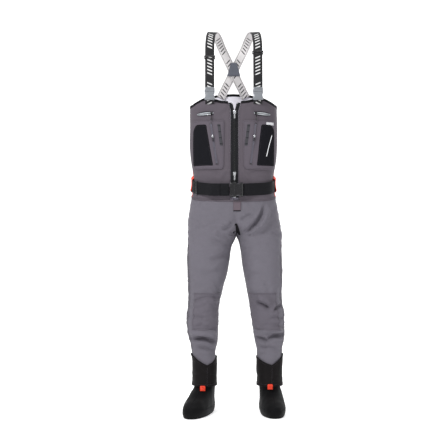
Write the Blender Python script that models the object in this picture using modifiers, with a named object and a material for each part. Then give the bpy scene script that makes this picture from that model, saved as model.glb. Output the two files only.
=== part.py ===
"""Chest waders: breathable bib and legs, neoprene socks, belt and suspenders.

Metres, +Z up, the wearer faces -Y, origin on the floor under the middle of the object.
The wearer's right side is at -X, the wearer's left side at +X.
"""
import math
import bpy
import bmesh
import numpy as np
from mathutils import Matrix, Vector

for ob in list(bpy.data.objects):
    bpy.data.objects.remove(ob, do_unlink=True)

PARTS = bpy.data.collections.new("chest_waders")
bpy.context.scene.collection.children.link(PARTS)
CUTS = bpy.data.collections.new("cutters")
bpy.context.scene.collection.children.link(CUTS)


# ---------------------------------------------------------------- materials
def material(name, rgb, rough, metal=0.0):
    m = bpy.data.materials.new(name)
    m.use_nodes = True
    b = m.node_tree.nodes["Principled BSDF"]
    b.inputs["Base Color"].default_value = (*[(c / 255) ** 2.2 for c in rgb], 1)
    b.inputs["Roughness"].default_value = rough
    b.inputs["Metallic"].default_value = metal
    m.diffuse_color = (*[(c / 255) ** 2.2 for c in rgb], 1)
    return m


BIB = material("bib_fabric", (95, 90, 96), 0.8)
LEG = material("leg_fabric", (124, 122, 130), 0.8)
KNEE = material("knee_fabric", (112, 109, 116), 0.8)
DARK = material("black_panel", (37, 37, 42), 0.8)
ORANGE = material("orange_panel", (232, 80, 58), 0.7)
NEO = material("guard_neoprene", (35, 31, 32), 0.85)
SOCK_NEO = material("sock_neoprene", (28, 28, 34), 0.85)
WEB = material("webbing", (45, 45, 46), 0.8)
PATCH = material("cross_patch", (107, 109, 120), 0.6)
BUCKLE = material("grey_buckle", (150, 152, 156), 0.3)
BLACKP = material("black_plastic", (30, 30, 33), 0.35)
ZIP = material("zip_tape", (40, 44, 46), 0.5)
METAL = material("zip_metal", (170, 172, 176), 0.25, 1.0)
FLY = material("fly_fabric", (107, 97, 104), 0.8)


# ---------------------------------------------------------------- curves
def cub(x, xs, ys):
    """Smooth curve through the points (xs rising)."""
    xs = np.asarray(xs, float)
    ys = np.asarray(ys, float)
    d = np.diff(ys) / np.diff(xs)
    m = np.zeros(len(xs))
    m[0], m[-1] = d[0], d[-1]
    for i in range(1, len(xs) - 1):
        m[i] = 0.0 if d[i - 1] * d[i] <= 0 else 2 * d[i - 1] * d[i] / (d[i - 1] + d[i])
    x = min(max(x, xs[0]), xs[-1])
    i = min(int(np.searchsorted(xs, x, side="right")) - 1, len(xs) - 2)
    h = xs[i + 1] - xs[i]
    t = (x - xs[i]) / h
    return float((2 * t**3 - 3 * t**2 + 1) * ys[i] + (t**3 - 2 * t**2 + t) * h * m[i]
                 + (-2 * t**3 + 3 * t**2) * ys[i + 1] + (t**3 - t**2) * h * m[i + 1])


ZIP_X = 0.003      # middle of the main zip
POWER = 2.8        # squareness of the trunk's section
TAPE_OUT = 0.0155  # outer edge of a zip tape, from the middle
V_FOOT = 1.245     # the zip stands open above this height
V_SLOPE = 0.26     # and each side leans out by this much


def half_width(z):
    return cub(z, [.745, .80, .895, .953, 1.07, 1.13, 1.28, 1.345],
               [.190, .188, .176, .166, .180, .183, .181, .177])


def front(z):
    return 0.118 + (z - 0.885) * 0.0251 if z > 0.80 else 0.1159 - (0.80 - z) * 0.05


def back(z):
    return cub(z, [.745, .80, .953, 1.345], [.117, .118, .107, .121])


def torso(z, deg):
    """Point of the trunk at height z; 0 is the side, 90 the front, -90 the back (x positive)."""
    c, s = math.cos(math.radians(deg)), math.sin(math.radians(deg))
    a = half_width(z)
    b = front(z) if s >= 0 else back(z)
    x = a * math.copysign(abs(c) ** (2 / POWER), c)
    y = -b * math.copysign(abs(s) ** (2 / POWER), s)
    return x, y


def deg_at(z, x):
    """Angle on the front or back where the trunk is x from the middle."""
    return math.degrees(math.acos(min(1.0, max(0.0, x / half_width(z))) ** (POWER / 2)))


def front_y(x, z):
    a = half_width(z)
    return -front(z) * max(0.0, 1 - min(1.0, abs(x) / a) ** POWER) ** (1 / POWER)


def arc(fn, d0, d1, u, n=40):
    """Point at fraction u, by length, of the section from angle d0 to d1."""
    pts = np.array([fn(d0 + (d1 - d0) * i / n) for i in range(n + 1)])
    seg = np.hypot(*np.diff(pts, axis=0).T)
    cum = np.concatenate([[0], np.cumsum(seg)])
    t = u * cum[-1]
    return float(np.interp(t, cum, pts[:, 0])), float(np.interp(t, cum, pts[:, 1]))


def collar(x):
    """Height of the front top edge."""
    return cub(abs(x), [0, .05, .085, .115, .145, .172], [1.283, 1.287, 1.296, 1.299, 1.289, 1.276])


def nape(x):
    """Height of the back top edge."""
    return cub(abs(x), [0, .06, .11, .15, .172], [1.345, 1.342, 1.326, 1.298, 1.276])


# ---------------------------------------------------------------- builders
def add(ob, mat, col=PARTS):
    for c in list(ob.users_collection):
        c.objects.unlink(ob)
    col.objects.link(ob)
    if mat is not None:
        ob.data.materials.clear()
        ob.data.materials.append(mat)
    return ob


def sheet(name, surf, nu, nv, thick, mat, ref, offset=-1.0, weld=False, origin=None):
    """Panel surf(u, v) of a thickness; ref(point) points outward there."""
    bm = bmesh.new()
    bmesh.ops.create_grid(bm, x_segments=nu, y_segments=nv, size=1.0)
    for v in bm.verts:
        v.co = Vector(surf((v.co.x + 1) / 2, (v.co.y + 1) / 2))
    if weld:
        bmesh.ops.remove_doubles(bm, verts=bm.verts, dist=2e-5)
    bm.normal_update()
    total = sum(f.normal.dot(Vector(ref(f.calc_center_median()))) * f.calc_area() for f in bm.faces)
    if total < 0:
        bmesh.ops.reverse_faces(bm, faces=bm.faces)
    me = bpy.data.meshes.new(name)
    bm.to_mesh(me)
    bm.free()
    ob = bpy.data.objects.new(name, me)
    add(ob, mat)
    if origin is not None:
        o = Vector(origin)
        me.transform(Matrix.Translation(-o))
        ob.location = o
    so = ob.modifiers.new("thickness", "SOLIDIFY")
    so.thickness = thick
    so.offset = offset
    so.use_even_offset = False
    so.use_rim = True
    return ob


def box(name, size, centre, mat=None, rot=None, col=PARTS):
    bm = bmesh.new()
    bmesh.ops.create_cube(bm, size=1.0)
    bmesh.ops.scale(bm, vec=Vector(size), verts=bm.verts)
    me = bpy.data.meshes.new(name)
    bm.to_mesh(me)
    bm.free()
    ob = bpy.data.objects.new(name, me)
    add(ob, mat, col)
    ob.matrix_world = Matrix.Translation(Vector(centre)) @ (rot or Matrix.Identity(4))
    return ob


def rod(name, radius, length, centre, axis, mat=None, col=PARTS, seg=20):
    bm = bmesh.new()
    bmesh.ops.create_cone(bm, cap_ends=True, segments=seg, radius1=radius, radius2=radius, depth=length)
    me = bpy.data.meshes.new(name)
    bm.to_mesh(me)
    bm.free()
    ob = bpy.data.objects.new(name, me)
    add(ob, mat, col)
    q = Vector((0, 0, 1)).rotation_difference(Vector(axis).normalized()).to_matrix().to_4x4()
    ob.matrix_world = Matrix.Translation(Vector(centre)) @ q
    return ob


def place(ob, mat4):
    """Carries ob from the frame it was drawn in to mat4."""
    ob.matrix_world = mat4 @ ob.matrix_world
    return ob


def boolean(ob, cutters, op="DIFFERENCE"):
    for c in cutters:
        add(c, None, CUTS)
        c.hide_render = True
        c.display_type = "WIRE"
        m = ob.modifiers.new(c.name, "BOOLEAN")
        m.operation = op
        m.solver = "EXACT"
        m.object = c
    return ob


def radial(p):
    return (p[0], p[1], 0)


# ---------------------------------------------------------------- bib
T = 0.0025  # thickness of the cloth panels


def seam_front(z):
    """Angle of the front edge of the side panel."""
    return cub(z, [.86, .96, 1.00, 1.035], [14, 12, 7, 0.35])


def seam_back(z):
    """Angle of the back edge of the side panel."""
    return cub(z, [.86, .96, 1.00, 1.035], [-34, -32, -18, -0.35])


def waist(y):
    """Height of the seam between the bib and the legs; it dips at the front."""
    return 0.90 + 0.17 * y


def opened(z):
    return max(0.0, z - V_FOOT) * V_SLOPE


def bib_front(side):
    def surf(u, v):
        edge = ZIP_X * side + TAPE_OUT + 0.0007
        _, y0 = arc(lambda d: torso(.90, d), seam_front(.90), deg_at(.90, edge), u)
        x1, _ = arc(lambda d: torso(1.28, d), seam_front(1.28), deg_at(1.28, edge), u)
        zb, zt = waist(y0) + 0.0008, collar(x1)
        z = zb + (zt - zb) * v
        x, y = arc(lambda d: torso(z, d), seam_front(z), deg_at(z, edge + opened(z)), u)
        return side * x, y, z
    return surf


def bib_back(u, v):
    k = abs(2 * u - 1)
    sgn = 1 if u >= 0.5 else -1
    _, y0 = arc(lambda d: torso(.90, d), -90, seam_back(.90), k)
    x1, _ = arc(lambda d: torso(1.28, d), -90, seam_back(1.28), k)
    zb, zt = waist(y0) + 0.0008, nape(x1)
    z = zb + (zt - zb) * v
    x, y = arc(lambda d: torso(z, d), -90, seam_back(z), k)
    return sgn * x, y, z


def side_panel(side):
    def surf(u, v):
        _, y0 = arc(lambda d: torso(.90, d), seam_front(.90) - 1.3, seam_back(.90) + 1.3, u)
        zb = waist(y0) + 0.0008
        z = zb + (1.022 - zb) * v
        x, y = arc(lambda d: torso(z, d), seam_front(z) - 1.3, seam_back(z) + 1.3, u)
        return side * x, y, z
    return surf


for side, word in ((-1, "right"), (1, "left")):
    sheet(f"bib_front_{word}", bib_front(side), 18, 16, T, BIB, radial)
    sheet(f"side_panel_{word}", side_panel(side), 8, 6, T, ORANGE, radial)
sheet("bib_back", bib_back, 24, 14, T, BIB, radial)


# ---------------------------------------------------------------- legs
# outer and inner outline of each leg from the front, as heights and distances from the middle
OUT = {
    -1: ([.0, .197, .273, .373, .474, .676, .751, .802, .90],
         [.170, .168, .1785, .194, .188, .195, .190, .188, .175]),
    1: ([.0, .197, .273, .323, .373, .474, .676, .90],
        [.203, .201, .205, .211, .212, .202, .2035, .175]),
}
IN = {
    -1: ([.0, .197, .247, .298, .424, .525, .575, .625, .676, .7405],
         [.0735, .0735, .077, .067, .063, .043, .028, .019, .013, -.012]),
    1: ([.0, .247, .298, .474, .625, .676, .726, .7405],
        [.1035, .0995, .090, .063, .036, .030, .0185, .012]),
}
CROTCH = 0.7405


def mid_x(z):
    return cub(z, [.7405, .80, .86, .90], [.012, .008, .004, .003])


def leg_dims(side, z):
    """Middle, half width and half depths of a leg; the width is measured toward its own side."""
    o = cub(z, *OUT[side])
    if z <= CROTCH:
        i = cub(z, *IN[side])
    else:
        f = min(1.0, (z - CROTCH) / (0.885 - CROTCH))
        m = mid_x(z) * side
        i = m - f ** 1.15 * (half_width(z) + m)
        if z > .852:
            o = half_width(z) + (o - half_width(z)) * max(0, (.88 - z) / .028)
    bf = cub(z, [.0, .20, .47, .55, .80, .90], [.056, .056, .094, .099, .1159, .1184])
    bb = cub(z, [.0, .25, .32, .40, .47, .55, .80, .90], [.060, .062, .070, .068, .058, .072, .116, .1105])
    n = cub(z, [.0, .65, .75, .90], [2.25, 2.3, 2.45, 2.8])
    return (o + i) / 2, (o - i) / 2, bf, bb, n


def seam_gap(z):
    """Half width of the crotch gusset beside the middle seam."""
    return cub(z, [.7405, .765, .800, .812], [.013, .012, .0008, .0004])


def leg_point(side, z, deg, dims=None):
    cx, w, bf, bb, n = dims or leg_dims(side, z)
    c, s = math.cos(math.radians(deg)), math.sin(math.radians(deg))
    x = cx + w * math.copysign(abs(c) ** (2 / n), c)
    y = -(bf if s >= 0 else bb) * math.copysign(abs(s) ** (2 / n), s)
    return x, y


def cut_deg(side, z):
    """Angle where the leg panel ends: the middle seam above the crotch, the inseam below."""
    cx, w, _, _, n = leg_dims(side, z)
    lim = side * mid_x(z) + seam_gap(z)
    c = (lim - cx) / w
    if c <= -1 or z <= CROTCH - 0.02:
        return 179.6
    if c >= 0:
        return math.degrees(math.acos(min(1, c) ** (n / 2)))
    return min(179.6, 180 - math.degrees(math.acos(abs(c) ** (n / 2))))


CUFF = 0.155


def leg_panel(side, sgn):
    """sgn +1 is the front panel, -1 the back one."""
    def surf(u, v):
        _, y0 = arc(lambda d: leg_point(side, .885, sgn * d), 0.4, cut_deg(side, .885), u)
        zt = waist(y0) - 0.0008
        z = CUFF + (zt - CUFF) * v
        dims = leg_dims(side, z)
        x, y = arc(lambda d: leg_point(side, z, sgn * d, dims), 0.4, cut_deg(side, z), u)
        return side * x, y, z
    return surf


def leg_ref(side):
    def ref(p):
        cx = leg_dims(side, p[2])[0]
        return p[0] - side * cx, p[1], 0
    return ref


for side, word in ((-1, "right"), (1, "left")):
    sheet(f"leg_front_{word}", leg_panel(side, 1), 12, 22, T, LEG, leg_ref(side))
    sheet(f"leg_back_{word}", leg_panel(side, -1), 12, 18, T, LEG, leg_ref(side))


def rise(z, sgn):
    """Depth of the middle seam at height z, front (+1) or back (-1)."""
    cx, w, bf, bb, n = leg_dims(1, z)
    c = min(1.0, abs((mid_x(z) + seam_gap(z) - cx) / w))
    return -sgn * (bf if sgn > 0 else bb) * (1 - c ** n) ** (1 / n)


def gusset(u, v):
    t = abs(2 * v - 1)
    sgn = 1 if v < 0.5 else -1
    z = CROTCH + 0.0030 + (0.798 - CROTCH - 0.0030) * t ** 1.6
    half = max(0.0, seam_gap(z) - 0.0022)
    y = rise(z, sgn) * (min(1.0, t / 0.12) if t < 0.12 else 1.0)
    return mid_x(z) + (2 * u - 1) * max(half, 0.0012), y, z + 0.0012


sheet("crotch_gusset", gusset, 3, 22, 0.002, LEG, lambda p: (0, p[1] * 3, -0.2), 0.0)


def knee(side):
    def surf(u, v):
        z = 0.345 + 0.155 * v
        dims = leg_dims(side, z)
        spread = 62 - 10 * abs(2 * v - 1) ** 3
        x, y = arc(lambda q: leg_point(side, z, q, dims), 90 - spread, 90 + spread, u)
        cx = dims[0]
        k = Vector((x - cx, y, 0)).normalized() * 0.0013
        return side * (x + k.x), y + k.y, z
    return surf


for side, word in ((-1, "right"), (1, "left")):
    sheet(f"knee_patch_{word}", knee(side), 16, 9, 0.0014, KNEE, leg_ref(side), 1.0)


# ---------------------------------------------------------------- guards, laces and socks
GUARD_FOOT = 0.112
GUARD_V = {-1: 100, 1: 84}  # angle of the V cut in the top edge


def guard(side):
    def surf(u, v):
        a = 2 * math.pi * u
        dip = 0.036 * max(0.0, 1 - abs((math.degrees(a) - GUARD_V[side]) / 70))
        zt = 0.236 - dip + 0.006 * math.cos(a)
        z = GUARD_FOOT + (zt - GUARD_FOOT) * v
        cx, w, bf, bb, n = leg_dims(side, max(z, 0.13))
        gap = 0.0014 + 0.0012 * v ** 2
        w += gap
        bf += gap + 0.0090 * (1 - v)
        bb += gap + 0.0050 * (1 - v)
        c, s = math.cos(a), math.sin(a)
        x = cx + w * math.copysign(abs(c) ** (2 / n), c)
        y = -(bf if s >= 0 else bb) * math.copysign(abs(s) ** (2 / n), s)
        return side * x, y, z
    return surf


# how far each foot is turned out, and where its ankle stands
FOOT = {-1: (math.radians(17), (-0.1215, 0.004)), 1: (math.radians(4), (0.1540, 0.024))}
# the sock from the middle of the sole to the ankle: height, reach of toe and heel, half width,
# and how far the section has turned into the leg's own
SOCK = [
    (0.0, 0.0, 0.0, 0.0, 0.0),
    (0.0, 0.105, 0.034, 0.024, 0.0),
    (0.0, 0.196, 0.066, 0.0435, 0.0),
    (0.008, 0.204, 0.071, 0.0475, 0.0),
    (0.022, 0.207, 0.074, 0.050, 0.0),
    (0.040, 0.200, 0.073, 0.049, 0.0),
    (0.056, 0.172, 0.071, 0.047, 0.0),
    (0.070, 0.136, 0.069, 0.046, 0.0),
    (0.086, 0.099, 0.066, 0.0455, 0.2),
    (0.104, 0.068, 0.060, 0.0440, 0.7),
    (0.125, 0.053, 0.055, 0.0440, 1.0),
    (0.1525, 0.049, 0.055, 0.0465, 1.0),
]
ANKLE = 0.086
SOCK_POWER = 2.35


def sock(side):
    turn, (ax, ay) = FOOT[side]
    cos_t, sin_t = math.cos(turn), math.sin(turn) * side
    cx, w = leg_dims(side, 0.16)[:2]
    widest = SOCK[-1][3]

    def surf(u, v):
        level, toe, heel, wide, turned = SOCK[int(round(v * (len(SOCK) - 1)))]
        c, s = math.cos(2 * math.pi * u), math.sin(2 * math.pi * u)
        fx = (toe - heel) / 2 + (toe + heel) / 2 * math.copysign(abs(c) ** (2 / SOCK_POWER), c)
        fy = wide * math.copysign(abs(s) ** (2 / SOCK_POWER), s)
        if level <= ANKLE:
            ball = math.exp(-((fx - 0.125) / 0.08) ** 2) * 0.07
            fy *= 1.0 - 0.14 * min(1.0, max(0.0, (0.03 - fx) / 0.10)) + ball
        x = ax + fx * sin_t + fy * cos_t
        y = ay - fx * cos_t + fy * sin_t
        tx = side * cx + cos_t * fy * (w - 0.0035) / widest * 0.985 + sin_t * fx * 0.85
        ty = -cos_t * fx * 0.98 + sin_t * fy * 0.98
        return x + (tx - x) * turned, y + (ty - y) * turned, level
    return surf, len(SOCK) - 1


def sock_outward(side):
    ax, ay = FOOT[side][1]
    return lambda p: (p[0] - ax, p[1] - ay + 0.054, p[2] - 0.08)


# middle of each lace tab, and how far it leans out along the instep
LACE = {-1: (Vector((-0.128, -0.0770, 0.107)), 24.4), 1: (Vector((0.1505, -0.0731, 0.113)), 10.0)}


def lace_frame(side):
    middle, lean = LACE[side]
    return Matrix.Translation(middle) @ Matrix.Rotation(math.radians(-lean), 4, "X")


for side, word in ((-1, "right"), (1, "left")):
    sheet(f"gravel_guard_{word}", guard(side), 28, 5, 0.003, NEO, leg_ref(side), 1.0, weld=True)
    fn, n = sock(side)
    sheet(f"sock_{word}", fn, 28, n, 0.004, SOCK_NEO, sock_outward(side), -1.0, weld=True)
    # lace tab sewn to the guard's hem, with a hook that turns on it
    lace = lace_frame(side)
    place(box(f"lace_tab_{word}", (0.022, 0.0022, 0.022), (0, 0, 0), ORANGE), lace)
    pivot = lace @ Matrix.Translation(Vector((0, -0.0038, 0.0060)))
    hook = box(f"lace_hook_{word}", (0.0120, 0.0020, 0.0130), (0, 0, 0), METAL)
    hook.data.transform(Matrix.Translation(Vector((0, 0, -0.0065))))
    hook.matrix_world = pivot
    bar = rod(f"lace_hook_bar_{word}", 0.0018, 0.016, (0, 0, 0), (1, 0, 0))
    tip = box(f"lace_hook_tip_{word}", (0.0080, 0.0055, 0.0020), (0, -0.0028, -0.0120))
    for piece in (bar, tip):
        place(piece, pivot)
    boolean(hook, [bar, tip], "UNION")


# ---------------------------------------------------------------- overlays on the bib
def normal_at(x, z):
    """Way out from the front of the trunk."""
    e = 0.002
    dx = Vector((2 * e, front_y(x + e, z) - front_y(x - e, z), 0))
    dz = Vector((0, front_y(x, z + e) - front_y(x, z - e), 2 * e))
    n = dz.cross(dx)
    n = -n if n.y > 0 else n
    return n.normalized()


def on_bib(x, z, off):
    """Point off metres in front of the bib's outer face."""
    return Vector((x, front_y(x, z), z)) + normal_at(x, z) * off


def overlay(name, outline, nu, nv, off, thick, mat):
    """Panel whose side edges run outline(v) -> (x0, x1, z0, z1)."""
    def surf(u, v):
        x0, x1, z0, z1 = outline(v)
        x = x0 + (x1 - x0) * u
        z = z0 + (z1 - z0) * u
        return on_bib(x, z, off)
    return sheet(name, surf, nu, nv, thick, mat, lambda p: (p[0] * 0.3, -1, 0), 1.0)


POCKET = 0.0010    # gap under a pocket
POCKET_T = 0.0028  # and its thickness
LAYER = POCKET + POCKET_T + 0.0009
POCKET_FOOT, POCKET_HEAD = 1.008, 1.208
WARMER_Z = (1.024, 1.190)
DOCK_Z = (1.105, 1.192)
# inner edge of the hand-warmer panels, from the middle
WARMER_FOOT = {-1: 0.0845, 1: 0.0938}
WARMER_TOP = 0.1120
# foot and top of the slanted chest zips, from the middle
CHEST_LINE = {-1: (0.0680, 0.0925), 1: (0.0685, 0.0885)}
CHEST_Z = (1.030, 1.196)
CHEST_SLIDER_AT = 0.030  # above the middle of the zip
ZIP_FACE = 0.0036        # how far the top zip stands off the bib
# button and tail of the top zips' cord pulls: radius and thickness, width, thickness and length
BUTTON = (0.0030, 0.0022)
TAIL = (0.0036, 0.0020, 0.030)


def pocket_outline(side):
    def f(v):
        z = POCKET_FOOT + (POCKET_HEAD - POCKET_FOOT) * v
        inner = 0.040 - 0.002 * v + 0.010 * max(0, (0.06 - v) / 0.06) ** 2
        outer = 0.1665 - 0.004 * max(0, 0.5 - v) + 0.002 * v
        outer = min(outer, half_width(z) * 0.945)
        return side * inner, side * outer, z, z
    return f


def warmer_outline(side):
    def f(v):
        z = WARMER_Z[0] + (WARMER_Z[1] - WARMER_Z[0]) * v
        inner = WARMER_FOOT[side] + (WARMER_TOP - WARMER_FOOT[side]) * v
        outer = 0.162 - 0.012 * max(0, (v - 0.80) / 0.20) ** 2
        return side * inner, side * outer, z, z
    return f


def line_frame(p0, p1, nrm):
    """Matrix whose z axis runs from p0 to p1 and whose -y axis is the outward normal."""
    zax = (p1 - p0).normalized()
    xax = zax.cross(nrm).normalized()
    yax = zax.cross(xax).normalized()
    m = Matrix((xax, yax, zax)).transposed().to_4x4()
    if yax.dot(nrm) > 0:
        m = Matrix((-xax, -yax, zax)).transposed().to_4x4()
    m.translation = (p0 + p1) / 2
    return m


def slider_set(stem, frame, size, pull_len, pull_w, pull_mat):
    """Saddle slider with two cheeks and a pull between them; frame z runs along the zip."""
    w, h, d = size
    slider = box(f"{stem}_slider", (w, d, h), (0, 0, 0), METAL)
    slider.data.transform(Matrix.Translation(Vector((0, -d / 2, 0))))
    slider.matrix_world = frame
    cheeks = []
    for k, letter in ((-1, "a"), (1, "b")):
        at = (k * (pull_w / 2 + 0.0011), -d - 0.0022, 0)
        cheeks.append(place(box(f"{stem}_slider_cheek_{letter}", (0.0014, 0.0052, 0.0060), at), frame))
    boolean(slider, cheeks, "UNION")
    pivot = frame @ Matrix.Translation(Vector((0, -d - 0.0024, 0)))
    pull = box(f"{stem}_pull", (pull_w, 0.0014, pull_len), (0, 0, 0), pull_mat)
    pull.data.transform(Matrix.Translation(Vector((0, 0, -pull_len / 2))))
    pull.matrix_world = pivot
    barrel = place(rod(f"{stem}_pull_barrel", 0.0015, pull_w, (0, 0, 0), (1, 0, 0)), pivot)
    boolean(pull, [barrel], "UNION")


for side, word in ((-1, "right"), (1, "left")):
    overlay(f"chest_pocket_{word}", pocket_outline(side), 16, 12, POCKET, POCKET_T, BIB)
    overlay(f"warmer_panel_{word}", warmer_outline(side), 9, 10, LAYER, 0.0014, DARK)

    def dock(v, s=side):
        z = DOCK_Z[0] + (DOCK_Z[1] - DOCK_Z[0]) * v
        x = 0.050 + 0.011 * v
        return s * (x - 0.006), s * (x + 0.006), z, z
    overlay(f"dock_strip_{word}", dock, 2, 6, LAYER, 0.0012, DARK)

    # chest zip, straight from near the top of the pocket to its foot
    foot_x, head_x = CHEST_LINE[side]
    foot = on_bib(side * foot_x, CHEST_Z[0], LAYER + 0.0016)
    head = on_bib(side * head_x, CHEST_Z[1], LAYER + 0.0016)
    line = line_frame(foot, head, normal_at(side * (foot_x + head_x) / 2, sum(CHEST_Z) / 2))
    place(box(f"chest_zip_{word}", (0.0080, 0.0020, (head - foot).length), (0, 0, 0), ZIP), line)
    rail = line @ Matrix.Translation(Vector((0, -0.0014, CHEST_SLIDER_AT)))
    slider_set(f"chest_{word}", rail, (0.0075, 0.0110, 0.0030), 0.022, 0.0040, BLACKP)

    # top zip, a lens across the upper chest
    def lens(u, v, s=side):
        x = 0.083 + 0.066 * u
        half = 0.0045 + 0.0040 * math.sin(math.pi * u)
        z = 1.2375 - 0.004 * u + (2 * v - 1) * half
        return on_bib(s * x, z, 0.0011)
    sheet(f"top_zip_{word}", lens, 12, 3, 0.0018, ZIP, lambda p: (p[0] * 0.3, -1, 0), 1.0)
    start = on_bib(side * 0.0895, 1.2370, ZIP_FACE)
    end = on_bib(side * 0.1180, 1.2355, ZIP_FACE)
    out = normal_at(side * 0.100, 1.236)
    line = line_frame(start, end, out)
    foot = line @ Matrix.Translation(Vector((0, -0.0009, -(end - start).length / 2)))
    slider = box(f"top_{word}_slider", (0.0075, 0.0030, 0.0100), (0, 0, 0), METAL)
    slider.data.transform(Matrix.Translation(Vector((0, -0.0015, 0))))
    slider.matrix_world = foot
    # cord pull hanging on a button in front of the slider
    facing = Vector((0, -1, 0)).rotation_difference(Vector((out.x, out.y, 0)).normalized())
    hang = Matrix.Translation(foot.translation + out * 0.0048) @ facing.to_matrix().to_4x4()
    button = rod(f"top_{word}_pull", *BUTTON, (0, 0, 0), (0, 1, 0), BLACKP)
    button.data.transform(button.matrix_world)
    button.matrix_world = hang
    tail = place(box(f"top_{word}_pull_tail", TAIL, (0, 0, -TAIL[2] / 2)), hang)
    boolean(button, [tail], "UNION")

# ---------------------------------------------------------------- main zip
ZIP_FOOT, ZIP_HEAD = 0.893, 1.279
LEAN_OUT = 0.0251  # how far the front leans out per metre of height


def tape(side):
    def surf(u, v):
        z = ZIP_FOOT + (ZIP_HEAD - ZIP_FOOT) * v
        inner = 0.0004 + opened(z)
        outer = TAPE_OUT + opened(z)
        x = ZIP_X + side * (inner + (outer - inner) * u)
        ridge = 0.0016 if u < 0.3 else 0.0
        return x, front_y(x, z) - 0.0001 - ridge, z
    return surf


for side, word in ((-1, "right"), (1, "left")):
    sheet(f"zip_tape_{word}", tape(side), 4, 16, 0.0018, ZIP, lambda p: (0, -1, 0), -1.0)

ZIP_RUN = Vector((0, -LEAN_OUT, 1)).normalized()
ZIP_OUT = Vector((0, -1, -LEAN_OUT)).normalized()


def zip_frame(z):
    p = Vector((ZIP_X, -front(z) - 0.0022, z))
    m = line_frame(p, p + ZIP_RUN * 0.01, ZIP_OUT)
    m.translation = p
    return m


for stem, z in (("upper", 1.2400), ("lower", 0.9900)):
    slider_set(stem, zip_frame(z), (0.0120, 0.0150, 0.0042), 0.026, 0.0060, METAL)


FLY_X = 0.0135
FLY_HALF = 0.0165


def fly(u, v):
    z = 0.838 + 0.039 * v
    return FLY_X + (2 * u - 1) * FLY_HALF, -leg_dims(1, z)[2] - 0.0012, z


sheet("fly_patch", fly, 2, 3, 0.0014, FLY, lambda p: (0, -1, 0), 1.0)

# ---------------------------------------------------------------- belt
BELT_Y = -0.1330  # depth of the belt's flat front run
BELT_Z = 0.925    # height of its middle there
FRONT_RUN = (-0.092, 0.052)   # from and to
SOCKET_END, TONGUE_END = 0.0370, -0.0190  # the webbing's two ends inside the buckle
WIDE = 0.050


def turn_of(a, b, c):
    """Positive where the way from a over b to c turns left."""
    return (b[0] - a[0]) * (c[1] - a[1]) - (b[1] - a[1]) * (c[0] - a[0])


def belt_curve():
    """Outline of the belt from above: taut round the waist and over the buckle's flat front run."""
    pts = []
    for i in range(240):
        c, s = math.cos(math.radians(1.5 * i)), math.sin(math.radians(1.5 * i))
        z = 0.953 - 0.23 * 0.11 * s
        a = half_width(z) + 0.0068
        b = (front(z) + 0.0052) if s >= 0 else (back(z) + 0.0050)
        x = a * math.copysign(abs(c) ** (2 / POWER), c)
        pts.append((x, -b * math.copysign(abs(s) ** (2 / POWER), s)))
    pts = sorted(pts + [(x, BELT_Y) for x in FRONT_RUN])

    def chain(ps):
        h = []
        for p in ps:
            while len(h) > 1 and turn_of(h[-2], h[-1], p) <= 0:
                h.pop()
            h.append(p)
        return h
    return np.array(chain(pts)[:-1] + chain(pts[::-1])[:-1])


def belt_surface():
    loop = belt_curve()
    # start on the flat front run at the wearer's left of the buckle and go round the back
    k = int(np.argmin(np.hypot(loop[:, 0] - FRONT_RUN[1], loop[:, 1] - BELT_Y)))
    path = np.vstack([[SOCKET_END, BELT_Y], np.roll(loop, -k, axis=0)])
    j = int(np.argmin(np.hypot(path[:, 0] - FRONT_RUN[0], path[:, 1] - BELT_Y)))
    path = np.vstack([path[:j + 1], [TONGUE_END, BELT_Y]])
    seg = np.hypot(*np.diff(path, axis=0).T)
    cum = np.concatenate([[0], np.cumsum(seg)])

    def surf(u, v):
        t = u * cum[-1]
        x, y = np.interp(t, cum, path[:, 0]), np.interp(t, cum, path[:, 1])
        z = 0.953 + 0.23 * y if y > -0.10 else 0.930 + (y + 0.10) * 0.15
        return float(x), float(y), float(z) + (v - 0.5) * WIDE
    return surf


sheet("belt_webbing", belt_surface(), 64, 2, 0.0020, WEB, radial, 0.0)


BUCKLE_T = 0.0130                   # thickness of a side-release buckle
SOCKET_LEN, TONGUE_LEN = 0.0330, 0.0190
MID = -0.0035                       # its middle, in front of the webbing
PRONG_Y = -0.0060                   # and the middle of its prongs


def buckle(stem, frame, wide, mat, web_gap):
    """Side-release buckle: socket below zero and tongue above zero along the local z axis.

    The webbing lies in the local plane y = 0, prongs and their room in front of it (-y).
    """
    outer = wide + 0.008
    socket = box(f"{stem}_socket", (outer, BUCKLE_T, SOCKET_LEN), (0, 0, 0), mat)
    socket.data.transform(Matrix.Translation(Vector((0, MID, -0.0170))))
    socket.matrix_world = frame
    cuts = [
        box(f"{stem}_socket_room", (wide * 0.86, 0.0052, 0.0270), (0, PRONG_Y, -0.0105)),
        box(f"{stem}_socket_slot", (web_gap, 0.0028, 0.0200), (0, 0, -0.0300)),
    ]
    for k, letter in ((1, "a"), (-1, "b")):
        at = (k * (wide / 2 + 0.0042), -0.004, -0.0130)
        cuts.append(box(f"{stem}_socket_window_{letter}", (0.0070, 0.0200, 0.0120), at))
    boolean(socket, [place(c, frame) for c in cuts])
    tongue = box(f"{stem}_tongue", (outer, BUCKLE_T, TONGUE_LEN), (0, 0, 0), mat)
    tongue.data.transform(Matrix.Translation(Vector((0, MID, 0.0100))))
    tongue.matrix_world = frame
    tunnel = box(f"{stem}_tongue_tunnel", (web_gap, 0.0028, 0.0400), (0, 0, 0.010))
    boolean(tongue, [place(tunnel, frame)])
    prongs = [box(f"{stem}_tongue_guide", (wide * 0.16, 0.0038, 0.0200), (0, PRONG_Y, -0.0075))]
    for k, letter in ((1, "a"), (-1, "b")):
        at = (k * wide * 0.35, PRONG_Y, -0.0095)
        prongs.append(box(f"{stem}_tongue_prong_{letter}", (wide * 0.12, 0.0038, 0.0240), at))
    boolean(tongue, [place(c, frame) for c in prongs], "UNION")


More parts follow.
